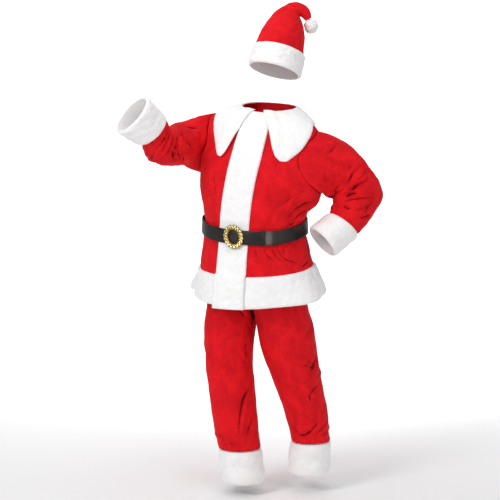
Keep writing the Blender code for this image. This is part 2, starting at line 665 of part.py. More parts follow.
WAISTBAND = table(LEG, [(1.0006, 0, 0, 0.1985, 0.1460), (1.020, 0, 0, 0.197, 0.1450),
                        (1.040, 0, 0, 0.196, 0.1440)])
RIGHT_ANKLE = table(LEG, [(0.048, -0.034, -0.054, 0.081, 0.083), (0.115, -0.041, -0.055, 0.080, 0.082),
                          (0.1826, -0.051, -0.054, 0.080, 0.083)])
LEFT_ANKLE = table(LEG, [(0.070, 0.181, 0.120, 0.078, 0.080), (0.135, 0.184, 0.121, 0.078, 0.080),
                         (0.2024, 0.189, 0.122, 0.076, 0.080)])


def ankle_cuff(name, rings):
    """The plush cuff at the foot of a leg."""
    rows = np.linspace(0, 2, 5)
    puff = CUFF_ROUND[::-1][:, None]
    tube("trouser_cuff_" + name, oval_rings(rings), rows, 20, PLUSH * puff, -VELOUR - 0.001 * puff,
         "white_plush")


flat = np.zeros((3, 1))
tube("waistband", oval_rings(WAISTBAND), np.linspace(0, 2, 3), 20, flat, flat - 0.003, "red_velour")
ankle_cuff("right", RIGHT_ANKLE)
ankle_cuff("left", LEFT_ANKLE)


# The hat: rings along a path from the band up to the fold and down to the pompom
HAT = table(ARM, [
    (0.068, 0.020, 1.728, 0.103, 0.106),
    (0.076, 0.034, 1.780, 0.102, 0.105),
    (0.083, 0.048, 1.832, 0.098, 0.100),
    (0.089, 0.066, 1.882, 0.088, 0.087),
    (0.098, 0.084, 1.931, 0.069, 0.066),
    (0.114, 0.096, 1.966, 0.048, 0.044),
    (0.137, 0.108, 1.984, 0.029, 0.027),
    (0.158, 0.118, 1.980, 0.018, 0.017),
    (0.1715, 0.125, 1.962, 0.012, 0.012),
    (0.1765, 0.129, 1.944, 0.008, 0.008),
])
BAND_ROW = 2.0
HAT_END = 9.0
HAT_FOLDS = table(ARM_FOLDS, [
    (300, 4.6, 60, 5.4, 0.010, 0.006), (290, 3.6, 330, 5.0, 0.013, 0.007),
    (150, 3.2, 170, 5.0, 0.013, 0.007), (60, 2.6, 80, 4.0, 0.014, 0.006),
])
HAT_TOP = np.array([-0.47, 0.88, 0.0])


def hat_surface(rings):
    """Ovals across the path of the hat, square to it."""
    centre = np.stack([rings["across"], rings["forward"], rings["height"]], -1)
    along = np.gradient(centre, axis=0)
    along /= np.linalg.norm(along, axis=1, keepdims=True)
    back = HAT_TOP - (along @ HAT_TOP)[:, None] * along
    back /= np.linalg.norm(back, axis=1, keepdims=True)
    right = np.cross(back, along)

    def surface(turn, row):
        turn, row = np.broadcast_arrays(np.asarray(turn, float), np.asarray(row, float))
        def read(values):
            return np.stack([smooth(values[:, i], row) for i in range(3)], -1)
        wide = (np.sin(turn) * smooth(rings["wide"], row))[..., None] * read(right)
        deep = (np.cos(turn) * smooth(rings["deep"], row))[..., None] * read(back)
        return read(centre) + wide - deep
    return surface


flat = np.zeros((16, 1))
tube("hat_cone", folded(hat_surface(HAT), HAT_FOLDS), np.linspace(BAND_ROW + 0.012, HAT_END, 16), 20,
     flat, flat - 0.0018, "red_velour")
puff = np.array([0.45, 0.95, 1.0, 0.95, 0.4])[:, None]
tube("hat_band", hat_surface(HAT), np.linspace(0, BAND_ROW, 5), 20, PLUSH * puff, -VELOUR - 0.001 * puff,
     "white_plush")


def pompom():
    """A plush ball at the hat's tip."""
    bpy.ops.mesh.primitive_uv_sphere_add(segments=16, ring_count=10, radius=POMPOM_RADIUS)
    ball = bpy.context.active_object
    ball.name = ball.data.name = "pompom"
    ball.data.materials.append(finish("pompom", "white_plush"))
    ball.location = (0.180 - ORIGIN_X, 0.1325 - ORIGIN_Y, 1.9143 + FLOOR)
    for home in list(ball.users_collection):
        home.objects.unlink(ball)
    SUIT.objects.link(ball)
    ball.data.shade_smooth()


pompom()
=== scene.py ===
"""The santa suit as cloth: velour with its folds, plush trims with their pile, the belt and the hat.

Metres, +Z up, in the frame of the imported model. The tables give heights above the floor, as the part does.
"""
import bpy
import numpy as np
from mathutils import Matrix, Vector


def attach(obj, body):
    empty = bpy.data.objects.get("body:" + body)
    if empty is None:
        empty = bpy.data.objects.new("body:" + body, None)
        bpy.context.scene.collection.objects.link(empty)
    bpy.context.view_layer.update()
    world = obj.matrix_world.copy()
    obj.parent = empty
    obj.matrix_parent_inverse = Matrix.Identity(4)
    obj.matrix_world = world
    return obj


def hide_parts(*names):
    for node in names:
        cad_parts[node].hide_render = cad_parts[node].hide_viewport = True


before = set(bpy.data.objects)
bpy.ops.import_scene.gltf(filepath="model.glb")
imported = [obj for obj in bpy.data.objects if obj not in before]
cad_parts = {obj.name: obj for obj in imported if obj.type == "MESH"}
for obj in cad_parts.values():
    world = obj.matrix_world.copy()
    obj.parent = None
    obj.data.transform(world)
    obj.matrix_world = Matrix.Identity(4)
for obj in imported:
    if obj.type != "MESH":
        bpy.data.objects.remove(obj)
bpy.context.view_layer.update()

FLOOR = -1.580            # height of the floor below the origin
ORIGIN_X = 0.045          # place of the neck across the tables
ORIGIN_Y = 0.020
VELOUR = 0.0025           # wall of the red cloth
PLUSH = 0.009             # wall of the white plush
COLLAR_PLUSH = 0.007
PLUSH_SINK = 0.001        # how far the back of the plush dips in past the cloth's inside
BELT_HEIGHT = 0.056
BELT_WALL = 0.0035
POMPOM_RADIUS = 0.029
STEP = 1e-4               # step for the slope of a surface, in its own parameters
EVENING = 14              # times that a grid is evened out to find its creases
FOLD_RUNS = 10            # straight runs that a fold's line is made of
TO_FRAME = np.array([-ORIGIN_X, -ORIGIN_Y, FLOOR])    # from the tables' places to the model's


# ---- Curves and small shapes ----

def table(columns, rows):
    """A dictionary of arrays, one for each named column."""
    values = np.array(rows, dtype=float)
    return {name: values[:, i] for i, name in enumerate(columns.split())}


def smooth(values, at):
    """Catmull-Rom curve through values one step apart, read at any place on it."""
    last = len(values) - 1
    at = np.clip(at, 0.0, last)
    cell = np.minimum(at.astype(int), last - 1)
    t = at - cell
    ends = np.concatenate(([2 * values[0] - values[1]], values, [2 * values[-1] - values[-2]]))
    a, b, c, d = (ends[cell + k] for k in range(4))
    return b + 0.5 * t * (c - a + t * (2 * a - 5 * b + 4 * c - d + t * (3 * (b - c) + d - a)))


def smooth_points(values, at):
    """The same curve through points: each of their three coordinates is read by itself."""
    return np.stack([smooth(values[:, i], at) for i in range(3)], -1)


def table_line(values, name, row):
    """A column of a table, read along straight lines between its rows."""
    return np.interp(row, values["row"], values[name])


def full_turn(count):
    """Angles evenly round a circle, as one row."""
    return (np.arange(count) * 2 * np.pi / count)[None, :]


def ease(t):
    """0 below 0, 1 above 1, smooth between."""
    t = np.clip(t, 0.0, 1.0)
    return t * t * (3 - 2 * t)


def bump(distance, width):
    """1 at no distance, falling to 0.37 one width away."""
    return np.exp(-(distance / width) ** 2)


def waves(points, size, seed, count=14):
    """Uneven swell from -1 to 1: the mean of sine waves of about one size, each in its own direction."""
    chance = np.random.default_rng(seed)
    ways = chance.normal(size=(count, 3))
    ways /= np.linalg.norm(ways, axis=1, keepdims=True)
    lengths = size * chance.uniform(0.7, 1.5, count)
    starts = chance.uniform(0, 2 * np.pi, count)
    total = np.zeros(points.shape[:-1])
    for way, length, start in zip(ways, lengths, starts):
        total += np.sin((points @ way) * 2 * np.pi / length + start)
    return total / np.sqrt(count)


# ---- Surfaces: a point for each pair of parameters ----

def surface_normal(surface, u, v):
    """Outward normal of a surface, from its slopes in both parameters."""
    du = surface(u + STEP, v) - surface(u - STEP, v)
    dv = surface(u, v + STEP) - surface(u, v - STEP)
    normal = np.cross(du, dv)
    return normal / np.maximum(np.linalg.norm(normal, axis=-1, keepdims=True), 1e-12)


def grid_normal(points, closed):
    """Outward normal over a grid of points, from the steps to each point's neighbours."""
    if closed:
        du = np.roll(points, -1, axis=1) - np.roll(points, 1, axis=1)
    else:
        du = np.gradient(points, axis=1)
    normal = np.cross(du, np.gradient(points, axis=0))
    return normal / np.maximum(np.linalg.norm(normal, axis=-1, keepdims=True), 1e-12)


def line_place(points, line, outward):
    """Signed distance of each point across a line of straight runs, and how far along it lies."""
    best = np.full(points.shape[:-1], 1e9)
    across = np.zeros(points.shape[:-1])
    place = np.zeros(points.shape[:-1])
    for i in range(len(line) - 1):
        run = line[i + 1] - line[i]
        t = np.clip(((points - line[i]) @ run) / (run @ run), 0, 1)
        gap = points - (line[i] + t[..., None] * run)
        distance = np.linalg.norm(gap, axis=-1)
        side = np.sign(np.sum(np.cross(outward, run) * gap, axis=-1))
        nearer = distance < best
        best = np.where(nearer, distance, best)
        across = np.where(nearer, side * distance, across)
        place = np.where(nearer, (i + t) / (len(line) - 1), place)
    return across, place


def fold_line(surface, fold):
    """Points of a curve over the surface, the short way round through the fold's three places."""
    turns = [fold["turn_a"], fold["turn_b"], fold["turn_c"]]
    rows = [fold["row_a"], fold["row_b"], fold["row_c"]]
    part = np.linspace(0, 1, FOLD_RUNS + 1)
    at = part * (len(turns) - 1)
    return surface(smooth(np.unwrap(np.radians(turns)), at), smooth(np.array(rows, float), at))


def folded(surface, folds):
    """The surface with folds: each is a groove with a softer ridge beside it, uneven along its length.

    The push is deep times a pointed bell across the line, less lift times deep of a round bell beside it.
    A fold without lift is a plain round bell, a dent or, with a negative depth, a bulge.
    """
    folds = [dict(zip(folds, row)) for row in zip(*folds.values())]
    lines = [fold_line(surface, fold) for fold in folds]

    def with_folds(u, v):
        points = surface(u, v)
        outward = surface_normal(surface, u, v)
        push = np.zeros(points.shape[:-1])
        for k, (fold, line) in enumerate(zip(folds, lines)):
            reach = 4.5 * fold["wide"]
            nearest = np.linalg.norm(points[..., None, :] - line[::2], axis=-1).min(axis=-1)
            near = nearest < reach + np.linalg.norm(line[1] - line[0]) * 1.2
            if not near.any():
                continue
            across, along = line_place(points[near], line, outward[near])
            uneven = 1 + 0.16 * np.sin(7.3 * along + k) + 0.07 * np.sin(17 * along + 2.2 * k)
            wide = fold["wide"] * (0.78 + 0.22 * np.sin(1.3 * k + 3.1 * along))
            ends = np.sin(np.pi * np.clip(along, 0.01, 0.99)) ** 1.2
            if fold["lift"] == 0:
                push[near] += fold["deep"] * ends * bump(across, fold["wide"])
                continue
            crease = np.exp(0.32 - np.sqrt((across / wide) ** 2 * 1.9 + 0.10))
            groove = crease - 1.35 * fold["lift"] * bump(across - 1.9 * wide, wide)
            push[near] += fold["deep"] * uneven * ends * groove
        return points - push[..., None] * outward
    return with_folds


def offset_points(surface, u, v, out):
    """Points of the surface moved out along its normal."""
    u, v = np.broadcast_arrays(u, v)
    return surface(u, v) + np.asarray(out)[..., None] * surface_normal(surface, u, v)


# ---- Materials ----

def new_group(name, inputs, outputs):
    """A shader node group with named sockets, and its two end nodes."""
    group = bpy.data.node_groups.new(name, "ShaderNodeTree")
    for label, kind, value in inputs:
        socket = group.interface.new_socket(label, in_out="INPUT", socket_type=kind)
        if value is not None:
            socket.default_value = value
    for label, kind in outputs:
        group.interface.new_socket(label, in_out="OUTPUT", socket_type=kind)
    return group, group.nodes.new("NodeGroupInput"), group.nodes.new("NodeGroupOutput")


def noise(tree, vector, scale, detail, rough=0.55, warp=0.0):
    """A noise texture's factor output."""
    node = tree.nodes.new("ShaderNodeTexNoise")
    node.inputs["Detail"].default_value = detail
    node.inputs["Roughness"].default_value = rough
    node.inputs["Distortion"].default_value = warp
    tree.links.new(vector, node.inputs["Vector"])
    if isinstance(scale, (int, float)):
        node.inputs["Scale"].default_value = scale
    else:
        tree.links.new(scale, node.inputs["Scale"])
    return node.outputs["Fac"]


def maths(tree, kind, *values):
    """A Math node on sockets or numbers."""
    node = tree.nodes.new("ShaderNodeMath")
    node.operation = kind
    for socket, value in zip(node.inputs, values):
        if isinstance(value, (int, float)):
            socket.default_value = value
        else:
            tree.links.new(value, socket)
    return node.outputs[0]


def ranged(tree, value, low, high, to_low=0.0, to_high=1.0):
    """A value taken from one range to another, smoothly and held at the ends."""
    node = tree.nodes.new("ShaderNodeMapRange")
    node.interpolation_type = "SMOOTHSTEP"
    for label, number in (("From Min", low), ("From Max", high), ("To Min", to_low), ("To Max", to_high)):
        node.inputs[label].default_value = number
    tree.links.new(value, node.inputs["Value"])
    return node.outputs["Result"]


def mixed(tree, part, first, second):
    """A colour between two, by a part; each colour is a socket or three numbers."""
    node = tree.nodes.new("ShaderNodeMix")
    node.data_type = "RGBA"
    tree.links.new(part, node.inputs["Factor"])
    ends = [socket for socket in node.inputs if socket.type == "RGBA"]
    for socket, colour in zip(ends, (first, second)):
        if isinstance(colour, tuple):
            socket.default_value = (*colour, 1.0)
        else:
            tree.links.new(colour, socket)
    return [socket for socket in node.outputs if socket.type == "RGBA"][0]


def weighted(tree, first, share, second, other_share):
    """The sum of two values, each times its own share."""
    shares = [maths(tree, "MULTIPLY", first, share), maths(tree, "MULTIPLY", second, other_share)]
    return maths(tree, "ADD", *shares)


def stretched(tree, vector, scale):
    """Coordinates scaled by three numbers."""
    node = tree.nodes.new("ShaderNodeMapping")
    node.inputs["Scale"].default_value = scale
    tree.links.new(vector, node.inputs["Vector"])
    return node.outputs["Vector"]


def nap_group():
    """Brushed nap: Mottle is where the pile lies over in soft patches, Height is its short fibres."""
    group, start, end = new_group(
        "brushed_nap",
        [("Cloth", "NodeSocketVector", None), ("Patch Scale", "NodeSocketFloat", 20.0),
         ("Fibre Scale", "NodeSocketFloat", 900.0)],
        [("Mottle", "NodeSocketFloat"), ("Height", "NodeSocketFloat")])
    cloth = start.outputs["Cloth"]
    lengthwise = stretched(group, cloth, (1.0, 0.55, 1.0))
    large = noise(group, lengthwise, start.outputs["Patch Scale"], 3.0, 0.6, 0.6)
    rows = noise(group, stretched(group, cloth, (0.35, 2.4, 1.0)), 110.0, 4.0, 0.65)
    patches = ranged(group, large, 0.30, 0.72)
    streaks = ranged(group, rows, 0.30, 0.70)
    mottle = weighted(group, patches, 0.62, streaks, 0.38)
    fibres = noise(group, cloth, start.outputs["Fibre Scale"], 2.0, 0.7)
    height = weighted(group, fibres, 0.6, rows, 0.4)
    group.links.new(mottle, end.inputs["Mottle"])
    group.links.new(height, end.inputs["Height"])
    return group


def pile_group():
    """Plush pile: Tufts are clumps of fibres, Height is the clumps with fine fibres over them."""
    group, start, end = new_group(
        "plush_pile",
        [("Place", "NodeSocketVector", None), ("Tuft Scale", "NodeSocketFloat", 190.0)],
        [("Tufts", "NodeSocketFloat"), ("Height", "NodeSocketFloat")])
    place = start.outputs["Place"]
    clumps = noise(group, place, start.outputs["Tuft Scale"], 4.0, 0.62, 0.8)
    fibres = noise(group, stretched(group, place, (1.0, 1.0, 0.5)), 1100.0, 2.0, 0.7)
    soft = noise(group, place, 34.0, 2.0)
    tufts = weighted(group, clumps, 0.7, soft, 0.3)
    height = weighted(group, clumps, 0.75, fibres, 0.35)
    group.links.new(tufts, end.inputs["Tufts"])
    group.links.new(height, end.inputs["Height"])
    return group


def grain_group():
    """Pressed grain of vinyl: Pebbles are its worn patches, Height its small cells with a fine noise."""
    group, start, end = new_group(
        "pressed_grain",
        [("Place", "NodeSocketVector", None), ("Pebble Scale", "NodeSocketFloat", 900.0)],
        [("Pebbles", "NodeSocketFloat"), ("Height", "NodeSocketFloat")])
    cells = group.nodes.new("ShaderNodeTexVoronoi")
    group.links.new(start.outputs["Place"], cells.inputs["Vector"])
    group.links.new(start.outputs["Pebble Scale"], cells.inputs["Scale"])
    rub = noise(group, start.outputs["Place"], 26.0, 4.0, 0.6)
    fine = noise(group, start.outputs["Place"], 2400.0, 2.0)
    height = weighted(group, cells.outputs["Distance"], 0.8, fine, 0.3)
    group.links.new(rub, end.inputs["Pebbles"])
    group.links.new(height, end.inputs["Height"])
    return group


NAP = nap_group()
PILE = pile_group()
GRAIN = grain_group()


def surface_material(name, group, scale_label, scale, **numbers):
    """A material with its Principled shader, whose inputs take the numbers, and one placed group."""
    made = bpy.data.materials.new(name)
    made.use_nodes = True
    tree = made.node_tree
    shader = tree.nodes["Principled BSDF"]
    for word, value in numbers.items():
        label = word.replace("_", " ").title().replace("Ior", "IOR")
        shader.inputs[label].default_value = value
    placed = tree.nodes.new("ShaderNodeGroup")
    placed.node_tree = group
    placed.inputs[scale_label].default_value = scale
    return made, tree, shader, placed


def placed_by_object(tree, placed):
    """The group reads its place from the object's own coordinates."""
    place = tree.nodes.new("ShaderNodeTexCoord")
    tree.links.new(place.outputs["Object"], placed.inputs["Place"])


def bumped(tree, shader, height, strength, distance):
    """The shader's normal from a height."""
    node = tree.nodes.new("ShaderNodeBump")
    node.inputs["Strength"].default_value = strength
    node.inputs["Distance"].default_value = distance
    tree.links.new(height, node.inputs["Height"])
    tree.links.new(node.outputs["Normal"], shader.inputs["Normal"])


def attribute(tree, name):
    """A point attribute's value."""
    node = tree.nodes.new("ShaderNodeAttribute")
    node.attribute_name = name
    return node.outputs["Fac"]


def velour_material(name, bright, middle, dark):
    """Velour: bright where the nap catches light, duller in patches, with painted shade dark down in the
    folds.
    """
    made, tree, shader, nap = surface_material(
        name, NAP, "Patch Scale", 21.0, roughness=0.82, sheen_weight=0.10, sheen_roughness=0.45,
        sheen_tint=(1.0, 0.16, 0.14, 1.0), specular_ior_level=0.12)
    cloth = tree.nodes.new("ShaderNodeUVMap")
    cloth.uv_map = "cloth"
    tree.links.new(cloth.outputs["UV"], nap.inputs["Cloth"])
    lit = mixed(tree, nap.outputs["Mottle"], middle, bright)
    # painted shade: the deeper a point lies in a crease, the nearer its colour comes to dark
    deep = ranged(tree, attribute(tree, "painted_shade_and_sheen"), 0.0002, 0.0042, 0.0, 0.90)
    tree.links.new(mixed(tree, deep, lit, dark), shader.inputs["Base Color"])
    bumped(tree, shader, nap.outputs["Height"], 0.35, 0.0006)
    return made


def plush_material(name, bright, shade):
    """White plush: short dense pile, with painted shade, a little warmer and darker, between its tufts."""
    made, tree, shader, pile = surface_material(
        name, PILE, "Tuft Scale", 230.0, roughness=0.95, sheen_weight=0.30, sheen_roughness=0.6,
        specular_ior_level=0.12)
    placed_by_object(tree, pile)
    # painted shade, warmer and darker, between the clumps of the pile
    tufts = ranged(tree, pile.outputs["Tufts"], 0.34, 0.60)
    soft = mixed(tree, tufts, shade, bright)
    # painted shade where the pile dips between its lumps
    deep = ranged(tree, attribute(tree, "painted_shade_and_sheen"), 0.0010, 0.0080, 0.0, 0.5)
    tree.links.new(mixed(tree, deep, soft, shade), shader.inputs["Base Color"])
    bumped(tree, shader, pile.outputs["Height"], 0.60, 0.0018)
    return made


def vinyl_material(name, dark, worn, painted_highlight):
    """Belt vinyl: fine pressed grain, greyer in its worn patches, and a painted grey highlight past the
    keeper.
    """
    made, tree, shader, grain = surface_material(
        name, GRAIN, "Pebble Scale", 1000.0, roughness=0.40, specular_ior_level=0.32, coat_weight=0.06,
        coat_roughness=0.25)
    placed_by_object(tree, grain)
    rub = ranged(tree, grain.outputs["Pebbles"], 0.42, 0.75)
    # painted highlight: grey on the strap's bulge past the keeper
    bright = ranged(tree, attribute(tree, "painted_shade_and_sheen"), 0.05, 0.95)
    tree.links.new(mixed(tree, bright, mixed(tree, rub, dark, worn), painted_highlight), shader.inputs["Base Color"])
    tree.links.new(ranged(tree, grain.outputs["Pebbles"], 0.3, 0.8, 0.34, 0.50), shader.inputs["Roughness"])
    bumped(tree, shader, grain.outputs["Height"], 0.30, 0.0004)
    return made


def gilt_material(name, bright, recess_shade):
    """Gold coloured plating: bright on what stands out, with painted shade, dull and brown, in its hollows.
    """
    made, tree, shader, grain = surface_material(
        name, GRAIN, "Pebble Scale", 700.0, metallic=1.0, roughness=0.26)
    placed_by_object(tree, grain)
    # painted shade in the buckle's recesses
    deep = ranged(tree, attribute(tree, "painted_shade_and_sheen"), 0.0002, 0.0016)
    tree.links.new(mixed(tree, deep, bright, recess_shade), shader.inputs["Base Color"])
    tree.links.new(ranged(tree, grain.outputs["Pebbles"], 0.3, 0.8, 0.20, 0.36), shader.inputs["Roughness"])
    bumped(tree, shader, grain.outputs["Height"], 0.12, 0.0003)
    return made


# dark is the painted shade down in the velour's creases
VELOUR_RED = velour_material(
    "red_velour", bright=(0.86, 0.009, 0.016), middle=(0.55, 0.004, 0.010), dark=(0.13, 0.0, 0.001))
PLUSH_WHITE = plush_material("white_plush", bright=(0.94, 0.955, 0.97), shade=(0.88, 0.85, 0.82))
# the last colour is the painted highlight past the keeper
BELT_VINYL = vinyl_material(
    "belt_vinyl", dark=(0.0125, 0.0080, 0.0065), worn=(0.024, 0.018, 0.016), painted_highlight=(0.125, 0.105, 0.105))
# the second colour is the painted shade in the buckle's recesses
BUCKLE_GILT = gilt_material("buckle_gilt", bright=(0.86, 0.69, 0.31), recess_shade=(0.24, 0.15, 0.04))


# ---- The jacket's body: the same rings as the part's, with finer folds ----
# Rings from the hem up to the neck; roll lowers the left side and pitch the front, in metres for each metre
BODY = table("height across forward half_width front back square roll pitch", [
    (0.815, 0.004, 0.000, 0.262, 0.226, 0.205, 0.96, 0.01, 0.17),
    (0.865, 0.002, 0.000, 0.254, 0.220, 0.200, 0.96, 0.02, 0.18),
    (0.925, 0.000, 0.000, 0.240, 0.210, 0.188, 0.95, 0.03, 0.18),
    (1.012, -0.004, 0.000, 0.226, 0.194, 0.168, 0.95, 0.06, 0.20),
    (1.108, -0.008, 0.000, 0.212, 0.176, 0.148, 0.95, 0.09, 0.27),
    (1.165, -0.006, 0.000, 0.222, 0.176, 0.148, 0.94, 0.09, 0.20),
    (1.230, -0.001, 0.000, 0.240, 0.172, 0.154, 0.93, 0.12, 0.10),
    (1.312, 0.006, 0.005, 0.256, 0.164, 0.160, 0.92, 0.16, 0.05),
    (1.392, 0.014, 0.012, 0.266, 0.150, 0.152, 0.91, 0.19, 0.03),
    (1.462, 0.022, 0.018, 0.264, 0.130, 0.130, 0.91, 0.20, 0.03),
    (1.516, 0.030, 0.020, 0.238, 0.108, 0.106, 0.93, 0.19, 0.05),
    (1.558, 0.038, 0.020, 0.178, 0.090, 0.088, 0.96, 0.15, 0.12),
    (1.584, 0.046, 0.020, 0.114, 0.080, 0.076, 1.00, 0.10, 0.26),
])
HEM_ROW = 2.25            # where the red cloth ends in the plush band
BELT_ROW = 4.0
ARMPIT_ROW = 6.6
SHOULDER_ROW = 10.2
NECK_ROW = 12.0
HEM_RADIUS = 0.25         # mean radius at the hem, from which the flares grow

# Flares of the hem: angle from the front, round towards the left sleeve
FLARES = table("angle out wide", [
    (-99, 0.074, 15), (-74, -0.006, 10), (-20, 0.006, 22), (38, -0.008, 18),
    (76, 0.030, 20), (112, 0.020, 18), (150, -0.014, 14), (180, 0.012, 16),
])

# A fold runs through three places, each a turn in degrees and a row. It is wide and deep in metres, and
# lift is the height of the ridge beside it, as a part of its depth.
FOLDS = "turn_a row_a turn_b row_b turn_c row_c wide deep lift"

# Large folds that the part has as well, then the folds seen at the front, then the rest at the back, and last
# the bulge under the left arm
LARGE_COUNT = 13
BODY_FOLDS = table(FOLDS, [
    (92, 6.5, 74, 5.8, 56, 5.0, 0.017, 0.019, 0.35), (92, 5.7, 80, 5.3, 66, 4.75, 0.012, 0.015, 0.35),
    (74, 6.9, 56, 6.3, 40, 5.6, 0.022, 0.006, 0.2), (-84, 6.9, -74, 6.0, -62, 5.0, 0.018, 0.011, 0.3),
    (-70, 9.6, -58, 8.6, -44, 7.6, 0.022, 0.008, 0.3), (66, 9.2, 58, 8.2, 48, 7.4, 0.024, 0.007, 0.3),
    (-112, 3.6, -116, 2.6, -118, 1.6, 0.022, 0.012, 0.3), (118, 3.6, 122, 2.6, 126, 1.6, 0.022, 0.012, 0.3),
    (150, 5.0, 140, 6.2, 128, 7.2, 0.024, 0.012, 0.3), (-150, 5.0, -140, 6.2, -128, 7.2, 0.024, 0.012, 0.3),
    (180, 5.0, 178, 6.2, 176, 7.6, 0.026, 0.011, 0.3), (160, 3.4, 159, 2.5, 158, 1.5, 0.020, 0.009, 0.3),
    (-162, 3.4, -160, 2.5, -158, 1.5, 0.020, 0.009, 0.3),
    (40, 3.62, 47, 3.08, 61, 2.62, 0.008, 0.006, 0.5), (31, 3.65, 36, 3.2, 45, 2.9, 0.007, 0.005, 0.5),
    (60, 3.65, 55, 3.3, 61, 2.8, 0.008, 0.006, 0.5), (72, 2.4, 84, 2.5, 96, 2.7, 0.009, 0.006, 0.4),
    (48, 3.6, 55, 3.0, 76, 2.6, 0.009, 0.007, 0.4), (22, 3.65, 24, 3.25, 29, 2.68, 0.006, 0.004, 0.4),
    (98, 9.0, 81, 8.8, 70, 8.3, 0.010, 0.006, 0.4), (78, 7.2, 70, 7.9, 64, 8.9, 0.014, 0.004, 0.3),
    (43, 5.9, 37, 5.2, 30, 4.6, 0.014, 0.003, 0.3), (84, 4.9, 70, 4.7, 58, 4.5, 0.006, 0.006, 0.5),
    (-44, 7.8, -35, 6.2, -31, 5.0, 0.010, 0.0035, 0.5), (-31, 7.4, -26, 6.4, -22, 5.6, 0.009, 0.003, 0.5),
    (-50, 6.6, -47, 6.1, -44, 5.4, 0.008, 0.003, 0.5), (-62, 3.6, -58, 3.2, -59, 2.5, 0.010, 0.004, 0.4),
    (-36, 3.4, -32, 3.0, -33, 2.6, 0.008, 0.003, 0.4), (-82, 8.4, -66, 7.6, -56, 6.4, 0.012, 0.005, 0.4),
    (140, 8.8, 152, 8.0, 168, 7.7, 0.018, 0.005, 0.3), (-138, 8.6, -150, 7.9, -170, 7.5, 0.018, 0.005, 0.3),
    (104, 7.4, 118, 6.8, 136, 6.4, 0.012, 0.007, 0.4), (-104, 7.3, -116, 6.6, -134, 6.0, 0.012, 0.007, 0.4),
    (112, 5.2, 122, 5.5, 138, 5.4, 0.011, 0.006, 0.4), (-110, 5.3, -124, 5.6, -140, 5.3, 0.011, 0.006, 0.4),
    (172, 4.6, 168, 5.1, 160, 5.9, 0.009, 0.005, 0.4), (-168, 4.6, -164, 5.2, -150, 5.8, 0.009, 0.005, 0.4),
    (140, 3.7, 142, 3.1, 140, 2.4, 0.010, 0.006, 0.4), (-142, 3.7, -138, 3.0, -140, 2.4, 0.010, 0.006, 0.4),
    (96, 3.7, 100, 3.2, 98, 2.5, 0.010, 0.006, 0.4), (-94, 3.6, -90, 3.1, -92, 2.6, 0.010, 0.006, 0.4),
    (89, 7.2, 88, 6.4, 86, 5.2, 0.058, -0.036, 0.0),
])


def ring_point(angle, row):
    """Point of the body without folds: a rounded ring at a row, at an angle from the front.

    Its place across is the half width times the angle's sine to a power, and its place forward is the
    depth times the cosine to that power. Below the waist both grow by a sum of bells, the flares. The
    height falls by the roll across and by the pitch towards the front.
    """
    row = row + 0.0 * angle
    get = {name: smooth(values, row) for name, values in BODY.items()}
    side, ahead = np.sin(angle), np.cos(angle)
    across = get["half_width"] * np.sign(side) * np.abs(side) ** get["square"]
    depth = np.where(ahead > 0, get["front"], get["back"])
    forward = -depth * np.sign(ahead) * np.abs(ahead) ** get["square"]
    low = ease((BELT_ROW - 1.0 - row) / 3.0)
    grow = sum(out * bump(np.degrees(np.angle(np.exp(1j * (angle - np.radians(at))))), wide)
               for at, out, wide in zip(FLARES["angle"], FLARES["out"], FLARES["wide"]))
    scale = 1 + low * grow / HEM_RADIUS
    across, forward = across * scale, forward * scale
    height = get["height"] - get["roll"] * across + get["pitch"] * forward
    return np.stack([get["across"] + across, get["forward"] + forward, height], -1)


# The plush lies over the large folds alone
LARGE_FOLDS = {name: values[:LARGE_COUNT] for name, values in BODY_FOLDS.items()}
jacket_surface = folded(ring_point, BODY_FOLDS)
ring_folded = folded(ring_point, LARGE_FOLDS)


# ---- Putting a piece together ----
RIM_ANGLE = 60            # degrees past which an edge stays sharp
VELOUR_SWELLS = ((0.085, 0.0010, 11), (0.028, 0.0005, 12))    # size and height of each swell, and its seed


def wall_faces(rows, columns, closed):
    """Corners of a wall's faces: the outer grid, the inner one turned round, and the rims between."""
    i, j = np.meshgrid(np.arange(rows - 1), np.arange(columns if closed else columns - 1), indexing="ij")
    k = (j + 1) % columns
    inner = rows * columns
    a, b, c, d = i * columns + j, i * columns + k, (i + 1) * columns + j, (i + 1) * columns + k
    outside = np.stack([a, b, d, c], -1).reshape(-1, 4)
    inside = np.stack([a, c, d, b], -1).reshape(-1, 4) + inner
    j, k = j[0], k[0]
    top = (rows - 1) * columns
    rims = [np.stack([k, j, inner + j, inner + k], -1),
            np.stack([top + j, top + k, inner + top + k, inner + top + j], -1)]
    if not closed:
        a, c = np.arange(rows - 1) * columns, np.arange(1, rows) * columns
        b, d = a + columns - 1, c + columns - 1
        rims += [np.stack([a, c, inner + c, inner + a], -1), np.stack([d, b, inner + b, inner + d], -1)]
    return np.concatenate([outside, inside] + rims)


def grid_metres(points, closed):
    """Two coordinates in metres over a grid: round it by its mean width, and up it by its mean steps."""
    rows, columns = points.shape[:2]
    across = np.linalg.norm(np.diff(points, axis=1), axis=-1).mean()
    up = np.linalg.norm(np.diff(points, axis=0), axis=-1).mean(axis=1)
    up = np.concatenate([[0], np.cumsum(up)])
    u, v = np.meshgrid(np.arange(columns) * across, up)
    return np.stack([u, v], -1)


def new_mesh(name, points, faces, material, painted_shade_and_sheen=None):
    """A smooth mesh of points, with what its material reads at each of them: how deep it lies, for painted
    shade, and on the belt how much painted highlight it takes.
    """
    mesh = bpy.data.meshes.new(name)
    mesh.from_pydata(points, [], faces)
    # the mask for painted shade, and on the belt for painted highlight
    if painted_shade_and_sheen is not None:
        layer = mesh.attributes.new("painted_shade_and_sheen", "FLOAT", "POINT")
        layer.data.foreach_set("value", painted_shade_and_sheen.astype(np.float32))
    mesh.materials.append(material)
    mesh.shade_smooth()
    return mesh


def settle(mesh, node):
    """Put a finished mesh in the scene in the place of its node."""
    piece = bpy.data.objects.new(mesh.name, mesh)
    bpy.context.scene.collection.objects.link(piece)
    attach(piece, "root")
    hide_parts(node)


